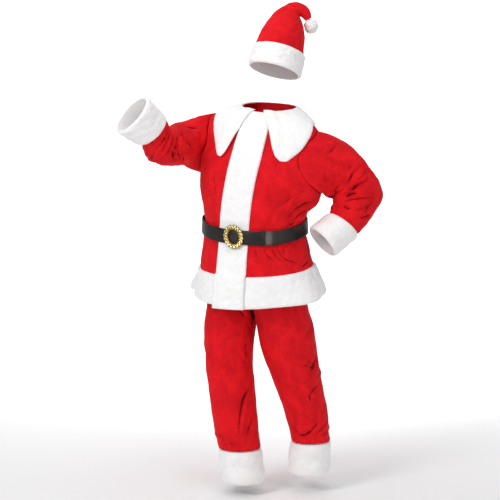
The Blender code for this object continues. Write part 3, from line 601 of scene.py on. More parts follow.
def wall_piece(node, outer, inner, closed, material, slot, painted_shade_and_sheen=None):
    """A cloth wall between two grids of points, as one object with its cloth coordinates."""
    rows, columns = outer.shape[:2]
    points = np.concatenate([outer.reshape(-1, 3), inner.reshape(-1, 3)]) + TO_FRAME
    faces = wall_faces(rows, columns, closed)
    cloth_word = slot.split("_")[1]
    if painted_shade_and_sheen is not None:
        painted_shade_and_sheen = np.concatenate([painted_shade_and_sheen.reshape(-1)] * 2)
    mesh = new_mesh(node + "_" + cloth_word, points, faces.tolist(), material, painted_shade_and_sheen)
    metres = grid_metres(outer, closed)
    step = metres[0, 1, 0]
    coordinates = np.concatenate([metres.reshape(-1, 2)] * 2)[faces.reshape(-1)]
    if closed:
        column = (faces % columns).reshape(-1, 4)
        seam = (column.max(axis=1) == columns - 1) & (column.min(axis=1) == 0)
        wraps = (seam[:, None] & (column == 0)).reshape(-1)
        coordinates[wraps, 0] += step * columns
    cloth = mesh.uv_layers.new(name="cloth")
    cloth.data.foreach_set("uv", coordinates.astype(np.float32).reshape(-1))
    mesh.set_sharp_from_angle(angle=np.radians(RIM_ANGLE))
    settle(mesh, node)


def swell(points, outward, size, height, seed):
    """Points moved along their normals by an uneven swell."""
    return points + (height * waves(points, size, seed))[..., None] * outward


def evened(points, axis, wrap):
    """A grid of points, each moved half way to the middle of its two neighbours along one axis."""
    if wrap:
        before, after = np.roll(points, 1, axis=axis), np.roll(points, -1, axis=axis)
    else:
        edges = [(1, 1) if i == axis else (0, 0) for i in range(3)]
        padded = np.pad(points, edges, mode="reflect", reflect_type="odd")
        count = points.shape[axis]
        before = np.take(padded, range(0, count), axis=axis)
        after = np.take(padded, range(2, count + 2), axis=axis)
    return 0.5 * points + 0.25 * (before + after)


def hollows(points, outward, closed):
    """How far each point of a grid lies below the evened grid, along its normal: large down in a crease."""
    even = points
    for _ in range(EVENING):
        even = evened(evened(even, 0, False), 1, closed)
    return np.sum((even - points) * outward, axis=-1)


def velour_wall(name, surface, turn, row, closed, relief):
    """A velour piece: its folded surface with a fine unevenness, and its inside one wall in."""
    points = surface(turn, row)
    outward = grid_normal(points, closed)
    for size, height, seed in VELOUR_SWELLS:
        points = swell(points, outward, size, height, seed)
    points = points + relief[..., None] * outward
    # each point's depth in a crease goes with the mesh, for the velour's painted shade
    wall_piece(name, points, points - VELOUR * outward, closed, VELOUR_RED, "red_velour",
               hollows(points, outward, closed))


# ---- The jacket's panels ----

FRONT_EDGE = 90.0         # side seam, in degrees from the front
ARMHOLE_FRONT = 40.0      # how far the armhole cuts into the front and the back, in degrees
ARMHOLE_BACK = 30.0
SEAM_GAP = 0.0006         # between two sewn pieces
SEAM_HALF = 0.00035       # half the gap between two panels


def edge_angle(row, cut):
    """Angle from the front of a panel's side edge: the side seam, cut in where the armhole is."""
    along = np.clip((row - ARMPIT_ROW) / (SHOULDER_ROW - ARMPIT_ROW), 0, 1)
    return np.radians(FRONT_EDGE - cut * np.sin(np.pi * along) ** 0.8)


def panel_rows(count):
    """Rows of a panel, from the hem to the neck."""
    return np.linspace(HEM_ROW - 0.02, NECK_ROW - 0.003, count)


def body_panel(name, first, last, columns, rows):
    """A panel between two edges; the cloth dips at its sewn edges and puckers beside them.

    The dip is a narrow bell at the edge, and the puckers are an uneven sine along the seam times a bell
    6 mm in from it.
    """
    row = panel_rows(rows)[:, None]
    part = np.linspace(0, 1, columns)[None, :]
    half_width = smooth(BODY["half_width"], row)
    gap = SEAM_HALF / (0.6 * half_width)
    turn = (first(row) + gap) * (1 - part) + (last(row) - gap) * part
    width = half_width * (last(row) - first(row)) * 0.8
    turn, row = np.broadcast_arrays(turn, row)
    edge = np.minimum(part, 1 - part) * width
    pucker = 0.0008 * np.sin(row * 46 + 3 * np.sin(row * 5.1)) * bump(edge - 0.006, 0.008)
    relief = pucker - 0.0016 * bump(edge, 0.0035)
    velour_wall(name, jacket_surface, turn, row, False, relief)


def front_edge(row):
    """The left front's side edge."""
    return edge_angle(row, ARMHOLE_FRONT)


def back_edge(row):
    """How far the back reaches to each side of its middle."""
    return edge_angle(row, ARMHOLE_BACK)


body_panel("front_right", lambda row: -front_edge(row), lambda row: 0 * row, 110, 180)
body_panel("front_left", lambda row: 0 * row, front_edge, 110, 180)
body_panel("back", lambda row: np.pi - back_edge(row), lambda row: np.pi + back_edge(row), 120, 120)


# ---- Plush: what lies on the body ----

def plush_wall(name, surface, turn, row, out, into, closed, seed):
    """A plush piece between two heights over a surface, with its pile in soft lumps and tufts.

    The pile adds a coarse swell, a fine one and a random height, all lower where the piece is thin.
    """
    turn, row, out, into = np.broadcast_arrays(turn, row, out, into)
    base = surface(turn, row)
    outward = grid_normal(base, closed)
    full = out / max(out.max(), 1e-6)
    chance = np.random.default_rng(seed)
    tufts = 0.0010 * waves(base, 0.030, seed) + 0.00055 * waves(base, 0.011, seed + 1)
    tufts = tufts + 0.00022 * chance.normal(size=tufts.shape)
    outer = base + (out + tufts * (0.25 + 0.75 * full))[..., None] * outward
    # painted shade: how far the pile dips between its lumps, which the plush darkens by
    painted_shade_and_sheen = np.clip(-2.2 * tufts, 0, None)
    wall_piece(name, outer, base + into[..., None] * outward, closed, PLUSH_WHITE, "white_plush", painted_shade_and_sheen)


def rounded(part, ends=0.12, low=0.25):
    """1 in the middle of a strip and low at its edges, over a quarter circle at each end."""
    near = np.clip(np.minimum(part, 1 - part) / ends, 0, 1)
    return low + (1 - low) * np.sqrt(1 - (1 - near) ** 2)


def hem_band(name, first, last, columns, bottom, seed):
    """The plush band that carries the body's rings down past the velour, rounded at both edges."""
    part = np.linspace(0, 1, 40)[:, None]
    row = bottom + (HEM_ROW - 0.01 - bottom) * part
    turn = np.radians(np.linspace(first, last, columns))[None, :]
    side = np.linspace(0, 1, columns)[None, :]
    seam = 1 - 0.55 * bump(np.minimum(side, 1 - side) * columns * 0.004, 0.008)
    puff = rounded(part, 0.10, 0.15) * seam
    plush_wall(name, jacket_surface, turn, row, PLUSH * puff, -VELOUR - PLUSH_SINK * puff, False, seed)


hem_band("hem_band_right", -89.9, -0.1, 96, 0.28, 21)
hem_band("hem_band_left", 0.1, 89.9, 96, 0.06, 22)
hem_band("hem_band_back", 90.1, 269.9, 160, 0.12, 23)

PLACKET = table("row degrees wide", [
    (-0.3, -2.2, 0.128), (2.2, -2.4, 0.128), (4.0, -2.2, 0.126), (5.0, -0.8, 0.124), (8.0, 2.4, 0.114),
    (11.6, 2.4, 0.100),
])


def placket():
    """The wide plush strip down the front, over the hem band; it is pressed flat under the belt."""
    row = np.linspace(0.004, 11.5, 240)[:, None]
    centre = table_line(PLACKET, "degrees", row)
    wide = table_line(PLACKET, "wide", row)
    half = np.minimum(np.degrees(0.5 * wide / smooth(BODY["half_width"], row)), 30.0)
    across = np.linspace(-1, 1, 40)[None, :]
    turn = np.radians(centre + half * across)
    over_band = PLUSH * 1.25 * (1 - ease((row - HEM_ROW + 0.06) / 0.16))
    under = 0.0022 + over_band + 0 * turn
    pressed = 1 - ease((np.abs(row - BELT_ROW) - 0.55) / 0.5)
    thick = 0.008 - 0.0055 * pressed - 0.004 * ease((row - 9.0) / 1.0)
    edge = rounded(0.5 + 0.5 * across, 0.10, 0.10) * rounded(row / 11.6, 0.01, 0.3)
    plush_wall("placket", ring_folded, turn, row, under + thick * edge, under, False, 31)


placket()

# Edge of the collar: angle from the front and the row that the edge reaches
COLLAR_EDGE = table("angle row", [
    (9, 11.30), (12, 10.60), (16, 9.60), (21, 8.70), (26, 8.22), (32, 8.00), (39, 8.05), (45, 8.40),
    (51, 8.75), (58, 9.30), (67, 9.90), (80, 10.40), (95, 10.60), (115, 10.50), (135, 10.20),
    (158, 10.00), (179.6, 10.00),
])
RIGHT_LOBE_DROP = 0.35    # rows that the right lobe hangs lower
RIGHT_LOBE_TURN = 15.0    # degrees that it lies nearer to the front
RIGHT_LOBE_RISE = 0.70    # rows that its edge stays higher over the shoulder
COLLAR_LIFT = 0.0030      # clear of the velour


def collar(name, side, seed):
    """Half of the wide flat collar: from the neck's edge out to the lobe's edge, plump all round.

    The lobe's edge is the table's line, evened out by a bell of weights; the right one is shifted by bells.
    """
    angle = np.concatenate([np.linspace(9, 60, 110), np.linspace(60, 179.6, 92)[1:]])
    turn = angle + (RIGHT_LOBE_TURN * bump(angle - 32, 26) if side < 0 else 0)
    edge = np.interp(turn, COLLAR_EDGE["angle"], COLLAR_EDGE["row"])
    kernel = np.exp(-np.linspace(-2, 2, 13) ** 2)
    edge = np.convolve(np.pad(edge, 6, mode="edge"), kernel / kernel.sum(), mode="valid")
    if side < 0:
        edge = edge - RIGHT_LOBE_DROP * bump(angle - 22, 14) + RIGHT_LOBE_RISE * bump(angle - 66, 22)
    part = np.linspace(0, 1, 42)[:, None]
    row = edge[None, :] * (1 - part) + (NECK_ROW - 0.002) * part
    turn = np.radians(angle)[None, :] + 0 * row
    length = np.linspace(0, 1, len(angle))[None, :]
    if side < 0:
        turn, row, length = -turn[:, ::-1], row[:, ::-1], length[:, ::-1]
    inside = COLLAR_LIFT + 0.0060 * (1 - ease((np.abs(np.degrees(turn)) - 22) / 10)) + 0 * row
    puff = rounded(part, 0.13, 0.12) * rounded(np.clip(length, 0, 0.5), 0.05, 0.15)
    plush_wall(name, ring_folded, turn, row, inside + COLLAR_PLUSH * puff, inside, False, seed)


collar("collar_right", -1, 41)
collar("collar_left", 1, 42)


# ---- Sleeves ----
# Rings along an arm: the middle of each, then half its size towards the arm's top and round from it
ARM = "across forward height wide deep"
RIGHT_ARM = table(ARM, [
    (-0.250, -0.014, 1.442, 0.100, 0.090),
    (-0.274, -0.062, 1.441, 0.096, 0.086),
    (-0.284, -0.122, 1.435, 0.088, 0.084),
    (-0.284, -0.190, 1.426, 0.081, 0.082),
    (-0.283, -0.264, 1.420, 0.075, 0.082),
    (-0.285, -0.304, 1.439, 0.071, 0.076),
    (-0.288, -0.329, 1.475, 0.067, 0.070),
    (-0.313, -0.370, 1.509, 0.074, 0.078),
    (-0.337, -0.411, 1.543, 0.082, 0.084),
])
LEFT_ARM = table(ARM, [
    (0.271, 0.087, 1.345, 0.110, 0.095),
    (0.310, 0.107, 1.341, 0.103, 0.096),
    (0.347, 0.128, 1.320, 0.095, 0.094),
    (0.371, 0.145, 1.282, 0.094, 0.091),
    (0.384, 0.152, 1.232, 0.091, 0.087),
    (0.374, 0.132, 1.171, 0.082, 0.080),
    (0.347, 0.094, 1.112, 0.069, 0.071),
    (0.314, 0.060, 1.074, 0.067, 0.071),
    (0.282, 0.025, 1.038, 0.068, 0.072),
])
RIGHT_CUFF_ROW = 6.22     # where each sleeve's cuff starts
LEFT_CUFF_ROW = 6.10
CUFF_END = 8.0
HOLE_ROWS = 2.2           # rows over which the armhole turns into the ovals
BEND_SPREAD = 3           # times that the directions are evened out, so that an elbow bends softly

# Folds of the sleeves, round the arm from its top; those without lift are wide dents and bulges
RIGHT_FOLDS = table(FOLDS, [
    (250, 2.2, 290, 3.2, 330, 4.2, 0.013, 0.012, 0.5), (215, 3.4, 250, 4.3, 285, 5.2, 0.010, 0.011, 0.5),
    (200, 2.4, 230, 3.0, 262, 3.6, 0.013, 0.009, 0.4), (300, 1.0, 325, 1.8, 350, 2.6, 0.018, 0.009, 0.3),
    (40, 2.8, 75, 3.5, 110, 4.2, 0.016, 0.008, 0.4), (30, 1.4, 62, 2.0, 95, 2.6, 0.020, 0.008, 0.3),
    (150, 4.4, 182, 5.0, 215, 5.6, 0.011, 0.008, 0.5), (330, 4.4, 5, 4.8, 40, 5.3, 0.011, 0.007, 0.5),
    (313, 5.9, 256, 5.7, 197, 5.5, 0.007, 0.0075, 0.6), (324, 5.6, 268, 5.45, 213, 5.1, 0.0075, 0.0085, 0.6),
    (3, 4.6, 278, 5.0, 222, 4.7, 0.0075, 0.010, 0.6), (348, 4.2, 287, 4.5, 229, 4.1, 0.009, 0.013, 0.6),
    (350, 2.9, 293, 3.6, 253, 2.9, 0.008, 0.008, 0.6), (290, 4.6, 261, 4.1, 222, 2.8, 0.008, 0.009, 0.5),
    (296, 3.6, 263, 3.0, 220, 1.9, 0.009, 0.007, 0.5), (338, 1.8, 301, 2.2, 241, 1.2, 0.012, 0.005, 0.4),
    (336, 1.1, 285, 1.2, 246, 0.9, 0.012, 0.004, 0.4), (266, 5.6, 242, 5.4, 229, 5.2, 0.006, 0.006, 0.6),
    (323, 3.8, 302, 4.3, 273, 4.6, 0.007, 0.008, 0.6), (262, 4.9, 244, 4.4, 222, 3.9, 0.008, 0.011, 0.5),
    (60, 3.6, 100, 4.5, 140, 4.9, 0.009, 0.008, 0.5), (20, 3.3, 60, 4.4, 96, 5.2, 0.009, 0.007, 0.5),
    (110, 2.2, 150, 3.0, 190, 3.3, 0.014, 0.007, 0.4), (80, 5.0, 120, 5.5, 160, 5.6, 0.008, 0.007, 0.5),
    (130, 3.8, 170, 4.2, 205, 4.1, 0.010, 0.008, 0.5), (160, 1.4, 200, 2.0, 235, 2.3, 0.016, 0.006, 0.3),
])
LEFT_FOLDS = table(FOLDS, [
    (132, 4.6, 102, 3.55, 60, 3.2, 0.0085, 0.016, 0.55), (134, 4.9, 119, 4.4, 95, 4.2, 0.008, 0.013, 0.6),
    (135, 5.1, 100, 4.65, 47, 4.2, 0.007, 0.008, 0.6), (126, 3.5, 99, 2.4, 52, 2.4, 0.010, 0.007, 0.5),
    (94, 5.45, 70, 5.0, 50, 4.5, 0.008, 0.007, 0.5), (137, 5.3, 112, 5.4, 87, 5.3, 0.007, 0.006, 0.6),
    (51, 5.3, 57, 4.9, 47, 4.3, 0.010, 0.006, 0.4), (170, 1.2, 147, 1.6, 99, 1.7, 0.014, 0.004, 0.3),
    (97, 1.1, 132, 1.2, 160, 1.4, 0.013, 0.0035, 0.3), (83, 1.0, 58, 1.1, 20, 1.2, 0.009, 0.004, 0.4),
    (70, 1.5, 90, 2.0, 112, 2.4, 0.018, 0.006, 0.3), (300, 1.4, 282, 1.9, 268, 2.4, 0.018, 0.008, 0.3),
    (20, 4.9, 45, 5.3, 75, 5.7, 0.012, 0.007, 0.4), (150, 4.6, 190, 4.7, 226, 4.6, 0.010, 0.009, 0.5),
    (152, 4.1, 188, 4.0, 230, 3.6, 0.010, 0.008, 0.5), (145, 5.2, 190, 5.3, 236, 5.1, 0.009, 0.007, 0.5),
    (200, 2.2, 236, 2.9, 280, 3.0, 0.014, 0.008, 0.4), (240, 4.2, 280, 4.0, 330, 3.6, 0.012, 0.008, 0.4),
    (236, 5.0, 280, 4.9, 330, 4.7, 0.010, 0.006, 0.5), (330, 2.4, 352, 2.9, 20, 3.0, 0.014, 0.006, 0.3),
    (86, 2.9, 60, 2.8, 30, 2.9, 0.010, 0.005, 0.4), (110, 3.1, 92, 3.0, 70, 2.9, 0.007, 0.006, 0.5),
    (-45, 2.2, 0, 2.3, 45, 2.2, 0.062, 0.024, 0.0), (-30, 4.0, 0, 4.1, 30, 4.0, 0.040, -0.010, 0.0),
    (186, 0.3, 183, 1.9, 180, 3.6, 0.060, -0.036, 0.0),
])


def armhole(turn, side, depth):
    """Point of the armhole, round it from the shoulder: over the front and back on one side."""
    part = np.mod(turn / (2 * np.pi), 1.0)
    first = part < 0.5
    down = np.where(first, part, 1 - part) / 0.5
    row = SHOULDER_ROW - (SHOULDER_ROW - ARMPIT_ROW) * down
    on_front = first if side > 0 else ~first
    front = edge_angle(row, ARMHOLE_FRONT)
    back = np.pi - edge_angle(row, ARMHOLE_BACK)
    angle = side * np.where(on_front, front, back)
    return offset_points(jacket_surface, angle, row, depth)


def arm_frame(arm, side):
    """Centres of the rings and two directions across each: up the arm's top, and round it."""
    centre = np.stack([arm["across"], arm["forward"], arm["height"]], -1)
    along = np.gradient(centre, axis=0)
    for _ in range(BEND_SPREAD):
        padded = np.concatenate([along[:1], along, along[-1:]])
        along = (padded[:-2] + 2 * along + padded[2:]) / 4
    along /= np.linalg.norm(along, axis=1, keepdims=True)
    top = armhole(np.array(0.0), side, 0.0) - armhole(np.array(np.pi), side, 0.0)
    tops = []
    for direction in along:
        top = top - (top @ direction) * direction
        top = top / np.linalg.norm(top)
        tops.append(top)
    tops = np.array(tops)
    return centre, tops, np.cross(along, tops)


def sleeve_surface(arm, side):
    """A tube that starts as the armhole and becomes an oval across the arm's path.

    Between the two it is an eased share of each.
    """
    centre, tops, rounds = arm_frame(arm, side)
    around = np.radians(np.arange(0, 360.5, 0.5))
    ring = armhole(around, side, 0.0)
    middle = ring[:-1].mean(axis=0)

    def surface(turn, row):
        turn, row = np.broadcast_arrays(np.asarray(turn, float), np.asarray(row, float))
        top, ahead, place = (smooth_points(values, row) for values in (tops, rounds, centre))
        oval = place + (np.cos(turn) * smooth(arm["wide"], row))[..., None] * top
        oval = oval + (np.sin(turn) * smooth(arm["deep"], row))[..., None] * ahead
        hole = np.stack([np.interp(np.mod(turn, 2 * np.pi), around, ring[:, i]) for i in range(3)], -1)
        inwards = middle - hole
        inwards = inwards / np.linalg.norm(inwards, axis=-1, keepdims=True)
        hole = hole + 2 * SEAM_GAP * inwards + place - centre[0]
        share = ease(row / HOLE_ROWS)[..., None]
        return hole * (1 - share) + oval * share
    return surface


PLEATS = (13, 19, 28, 37)     # waves round a gathered seam
PLEAT = 0.0010                # height of each


def gathers(turn, row, seam, reach, seed):
    """Small pleats that run up from a gathered seam.

    They are sines of the turn whose own turn sways, and they fall to 0.37 one reach away from the seam.
    """
    chance = np.random.default_rng(seed)
    total = np.zeros(turn.shape)
    for count in PLEATS:
        start = chance.uniform(0, 6.28)
        sway = 1.4 * np.sin(2 * turn + chance.uniform(0, 6.28))
        total += np.sin(count * turn + start + sway)
    return PLEAT * total * np.exp(-np.abs(seam - row) / reach)


def arm(name, rings, side, folds, cuff_row, seed):
    """A set-in sleeve with its folds, gathered into its plush cuff; it dips by a bell at both seams."""
    plain = sleeve_surface(rings, side)
    surface = folded(plain, folds)
    turn, row = np.broadcast_arrays(full_turn(130), np.linspace(0.004, cuff_row - 0.01, 148)[:, None])
    relief = gathers(turn, row, cuff_row, 0.55, seed) - 0.0018 * bump(row, 0.09)
    relief = relief - 0.0020 * bump(row - cuff_row, 0.12)
    velour_wall("sleeve_" + name, surface, turn, row, True, relief)
    part = np.linspace(0, 1, 40)[:, None]
    puff = rounded(part, 0.12, 0.12)
    plush_wall("cuff_" + name, plain, full_turn(140), cuff_row + (CUFF_END - cuff_row) * part,
               0.001 + PLUSH * puff, -VELOUR - PLUSH_SINK * puff, True, seed + 1)


arm("right", RIGHT_ARM, -1, RIGHT_FOLDS, RIGHT_CUFF_ROW, 51)
arm("left", LEFT_ARM, 1, LEFT_FOLDS, LEFT_CUFF_ROW, 54)


# ---- The belt ----
BELT_CLEAR = 0.0098       # from the waist to the back of the strap
BUCKLE_TURN = 0.5         # degrees from the front
BUCKLE_SIZE = (0.072, 0.092)
BUCKLE_OPENING = (0.036, 0.056)
BUCKLE_THICK = 0.009
BUCKLE_LEAN = 8           # degrees that the buckle hangs askew
BUCKLE_BACK = 0.0040      # from the strap's back to the buckle's
SCALLOPS = 18             # beads round the buckle's rim
TEETH = 26                # points round its opening
TIP_TURN = (13.5, 48.0)   # the strap's loose end, from the buckle through the keeper
KEEPER_TURN = (30.0, 33.2)
KEEPER_DEPTH = 0.0104     # from the strap's back to the keeper's face
KEEPER_BEND = 0.003       # radius of its corners
KEEPER_WALL = 0.0024
SHEEN_TURN = 37.5        # degrees from the front to the middle of the strap's bulge and its painted highlight
WAIST_ARC = 0.195         # metres of belt for each radian at the front


def belt_point(angle, up, out):
    """Point of the belt's path: the waist ring moved out, and up or down along the cloth."""
    angle, up, out = np.broadcast_arrays(angle, up, out)
    row = np.full(angle.shape, BELT_ROW)
    ring = offset_points(ring_point, angle, row, BELT_CLEAR + out)
    rise = ring_point(angle, row + 0.3) - ring_point(angle, row - 0.3)
    return ring + up[..., None] * rise / np.linalg.norm(rise, axis=-1, keepdims=True)


def strap(name, first, last, height, back, front, columns, closed):
    """A flat strap between two angles: its face is a little crowned, with a pressed line near each edge.

    Past the keeper it bulges a little and carries a painted highlight, by a round bell in both directions.
    """
    turn = np.radians(np.linspace(first, last, columns, endpoint=not closed))[None, :]
    part = np.linspace(0, 1, 30)[:, None]
    from_edge = np.minimum(part, 1 - part) * height
    face = front - 0.0011 * (1 - ease(from_edge / 0.0022)) - 0.0005 * bump(from_edge - 0.0042, 0.0009)
    up = (part - 0.5) * height
    wobble = 0.0007 * np.sin(5 * turn + 0.6) + 0.0004 * np.sin(13 * turn)
    bulge_and_sheen = 0 * turn + 0 * part
    if not closed:
        length = np.linspace(0, 1, columns)[None, :]
        face = face - 0.0012 * (1 - ease(np.minimum(length, 1 - length) * 60))
        # painted highlight past the keeper, where the strap also bulges
        bulge_and_sheen = bump(np.degrees(turn) - SHEEN_TURN, 4.2) * bump(part - 0.46, 0.75)
    face = face + 0.0012 * bulge_and_sheen
    outer = belt_point(turn, up + wobble, face)
    inner = belt_point(turn, up + wobble, back + 0 * face)
    wall_piece(name, outer, inner, closed, BELT_VINYL, "belt_vinyl", bulge_and_sheen)


strap("belt", 0, 360, BELT_HEIGHT, 0.0, BELT_WALL, 260, True)
strap("belt_tip", *TIP_TURN, BELT_HEIGHT - 0.002, BELT_WALL + 0.0003, 0.0066, 60, False)


def keeper():
    """The loop over the strap's loose end: a narrow band that turns in past the belt's edges.

    Its section runs out from the strap, round a quarter circle, over the face and back the same way.
    """
    half = 0.5 * BELT_HEIGHT + 0.0004
    reach, foot = half + 0.0022, 0.0002
    bend = np.linspace(0, 0.5 * np.pi, 7)
    corner_up = -reach + KEEPER_BEND * (1 - np.cos(bend))
    corner_out = KEEPER_DEPTH - KEEPER_BEND + KEEPER_BEND * np.sin(bend)
    up = np.concatenate([[-reach], corner_up, [0.0], -corner_up[::-1], [reach]])
    out = np.concatenate([[foot], corner_out, [KEEPER_DEPTH], corner_out[::-1], [foot]])
    turn = np.radians(np.linspace(*KEEPER_TURN, 16))[None, :]
    side = np.linspace(-1, 1, 16)[None, :]
    crown = 0.0022 * (1 - side ** 4) - 0.0006 * bump(np.abs(side) - 0.72, 0.10)
    outer = belt_point(turn, up[:, None], out[:, None] + crown - 0.0006)
    lining = np.clip(out - KEEPER_WALL, foot, None)[:, None] + 0 * turn
    inner = belt_point(turn, (up * half / reach)[:, None], lining)
    wall_piece("belt_keeper", outer, inner, False, BELT_VINYL, "belt_vinyl")


keeper()


def buckle():
    """The oval buckle: a beaded, scalloped rim round an opening with a zigzag edge.

    A ring swept round an oval. Its outer edge swells at each bead, its inner edge steps in and out
    as a zigzag, and its face rises over the beads and over a cord between them.
    """
    around, section = 504, 32
    turn = full_turn(around)
    roll = full_turn(section).T
    outer, inner = 0.5 * np.array(BUCKLE_SIZE), 0.5 * np.array(BUCKLE_OPENING)
    middle, half = 0.5 * (outer + inner), 0.5 * (outer - inner)
    reach = -np.cos(roll)
    bead = np.abs(np.cos(0.5 * SCALLOPS * turn)) ** 0.7
    tooth = 1 - 2 * np.abs(np.mod(turn * TEETH / (2 * np.pi), 1.0) - 0.5)
    outwards, inwards = ease((reach - 0.05) / 0.9), ease((-reach - 0.2) / 0.8)
    rim = 1 + 0.075 * (bead - 0.62) * outwards - 0.10 * (tooth - 0.3) * inwards
    x = (middle[0] + half[0] * reach) * rim * np.sin(turn)
    z = (middle[1] + half[1] * reach) * rim * np.cos(turn)
    lean = np.radians(BUCKLE_LEAN)
    x, z = x * np.cos(lean) - z * np.sin(lean), x * np.sin(lean) + z * np.cos(lean)
    front = 0.5 * (1 - np.sin(roll))
    beads = bump(reach - 0.50, 0.34) * bead
    petals = bump(reach + 0.20, 0.22) * np.abs(np.sin(0.5 * SCALLOPS * turn)) ** 1.5
    cord = bump(reach + 0.66, 0.16) * (0.6 + 0.4 * np.cos(3 * SCALLOPS * turn))
    relief = front * (0.0021 * beads + 0.0016 * petals + 0.0009 * cord)
    out = BUCKLE_BACK + 0.78 * BUCKLE_THICK * front + relief
    points = belt_point(np.radians(BUCKLE_TURN) + x / WAIST_ARC, z, out) + TO_FRAME
    i, j = np.meshgrid(np.arange(section), np.arange(around), indexing="ij")
    k, n = (j + 1) % around, (i + 1) % section
    faces = np.stack([i * around + j, n * around + j, n * around + k, i * around + k], -1).reshape(-1, 4)
    # painted shade: deeper where the relief is low, between the beads
    painted_shade_and_sheen = (0.0017 - relief).reshape(-1)
    mesh = new_mesh("buckle_gilt", points.reshape(-1, 3), faces.tolist(), BUCKLE_GILT, painted_shade_and_sheen)
    settle(mesh, "buckle")


buckle()


# ---- The trousers ----
# Level rings up a leg: the middle of each and half its size both ways
LEG = "height across forward wide deep"
RIGHT_LEG = table(LEG, [
    (0.186, -0.052, -0.054, 0.085, 0.089),
    (0.240, -0.062, -0.056, 0.088, 0.093),
    (0.320, -0.074, -0.056, 0.092, 0.098),
    (0.420, -0.087, -0.056, 0.094, 0.101),
    (0.520, -0.101, -0.052, 0.097, 0.103),
    (0.610, -0.107, -0.044, 0.101, 0.107),
    (0.690, -0.109, -0.030, 0.105, 0.115),
    (0.800, -0.107, -0.010, 0.104, 0.130),
    (0.910, -0.104, 0.000, 0.101, 0.140),
    (1.000, -0.103, 0.000, 0.100, 0.140),
])
LEFT_LEG = table(LEG, [
    (0.206, 0.189, 0.122, 0.080, 0.084),
    (0.255, 0.184, 0.116, 0.082, 0.088),
    (0.320, 0.178, 0.104, 0.088, 0.094),
    (0.400, 0.163, 0.086, 0.094, 0.102),
    (0.490, 0.143, 0.070, 0.103, 0.110),
    (0.590, 0.125, 0.048, 0.114, 0.118),
    (0.690, 0.118, 0.024, 0.1145, 0.124),
    (0.800, 0.108, 0.006, 0.105, 0.132),
    (0.910, 0.104, 0.000, 0.101, 0.140),
    (1.000, 0.103, 0.000, 0.100, 0.140),
])
CROTCH_ROW = 6.0
HIP_ROWS = 2.0            # rows over which a leg turns into half of the hips
WAIST_ROW = 9.0
HIPS = table("wide front back", [
    (0.208, 0.165, 0.165), (0.208, 0.165, 0.160), (0.204, 0.155, 0.150), (0.198, 0.148, 0.142),
])
INNER_SEAM = 0.0035       # half of the seam gap down the inner leg, in radians
RIGHT_LEG_FOLDS = table(FOLDS, [
    (318, 2.6, 305, 1.6, 292, 0.6, 0.020, 0.005, 0.3), (340, 5.4, 346, 4.8, 352, 4.3, 0.018, 0.008, 0.3),
    (250, 0.4, 278, 0.6, 305, 0.8, 0.014, 0.0055, 0.4), (40, 0.5, 80, 0.7, 120, 0.9, 0.015, 0.010, 0.4),
    (200, 2.9, 175, 3.1, 150, 3.4, 0.022, 0.008, 0.3), (80, 2.8, 60, 3.0, 40, 3.2, 0.022, 0.009, 0.3),
    (5, 3.4, 324, 2.6, 303, 0.9, 0.011, 0.0085, 0.6), (336, 6.3, 347, 6.0, 3, 5.5, 0.010, 0.006, 0.4),
    (304, 6.7, 329, 6.6, 347, 6.2, 0.011, 0.006, 0.3), (252, 4.9, 269, 3.4, 275, 1.5, 0.024, 0.0045, 0.3),
    (15, 2.3, 341, 1.7, 322, 0.7, 0.010, 0.005, 0.5), (252, 0.55, 292, 0.5, 332, 0.45, 0.008, 0.004, 0.5),
    (213, 1.3, 249, 1.0, 275, 0.8, 0.009, 0.005, 0.4), (317, 4.9, 335, 4.4, 359, 4.0, 0.013, 0.005, 0.3),
    (140, 1.2, 180, 0.8, 225, 0.7, 0.010, 0.008, 0.5), (60, 1.4, 100, 1.2, 150, 1.4, 0.012, 0.008, 0.4),
    (120, 4.4, 80, 4.7, 40, 5.2, 0.016, 0.007, 0.3), (150, 6.3, 110, 5.9, 60, 6.1, 0.016, 0.008, 0.3),
    (170, 5.5, 200, 4.8, 230, 4.4, 0.018, 0.005, 0.3), (70, 0.4, 120, 0.4, 180, 0.35, 0.008, 0.006, 0.5),
])
LEFT_LEG_FOLDS = table(FOLDS, [
    (200, 4.9, 173, 4.5, 150, 4.0, 0.013, 0.008, 0.5), (196, 3.8, 147, 3.3, 137, 2.7, 0.012, 0.0075, 0.5),
    (30, 5.6, 50, 5.1, 70, 4.6, 0.020, 0.007, 0.3), (60, 0.3, 95, 0.7, 130, 1.1, 0.014, 0.008, 0.4),
    (190, 0.8, 225, 0.6, 260, 0.5, 0.015, 0.010, 0.4), (330, 3.2, 308, 3.5, 285, 3.8, 0.022, 0.009, 0.3),
    (250, 2.7, 275, 2.8, 300, 3.0, 0.022, 0.008, 0.3),
    (159, 2.0, 130, 1.25, 95, 0.6, 0.010, 0.006, 0.5), (207, 2.0, 163, 1.3, 124, 0.6, 0.010, 0.0065, 0.5),
    (63, 1.4, 84, 0.9, 113, 0.55, 0.009, 0.0055, 0.6), (63, 1.9, 76, 1.1, 100, 0.45, 0.010, 0.006, 0.5),
    (206, 1.1, 164, 0.8, 132, 0.5, 0.009, 0.006, 0.5), (65, 6.0, 101, 6.3, 138, 6.5, 0.014, 0.003, 0.3),
    (71, 5.1, 89, 4.8, 95, 4.4, 0.016, 0.003, 0.3), (202, 6.3, 166, 5.8, 142, 5.4, 0.014, 0.005, 0.4),
    (186, 4.4, 160, 4.4, 130, 4.6, 0.010, 0.005, 0.5), (230, 4.6, 205, 4.2, 180, 4.1, 0.012, 0.008, 0.4),
    (230, 1.6, 270, 1.3, 320, 1.4, 0.012, 0.009, 0.4), (300, 0.7, 340, 0.5, 20, 0.6, 0.010, 0.008, 0.5),
    (250, 5.3, 290, 5.0, 330, 5.4, 0.018, 0.007, 0.3), (240, 6.5, 280, 6.2, 330, 6.3, 0.018, 0.006, 0.3),
])


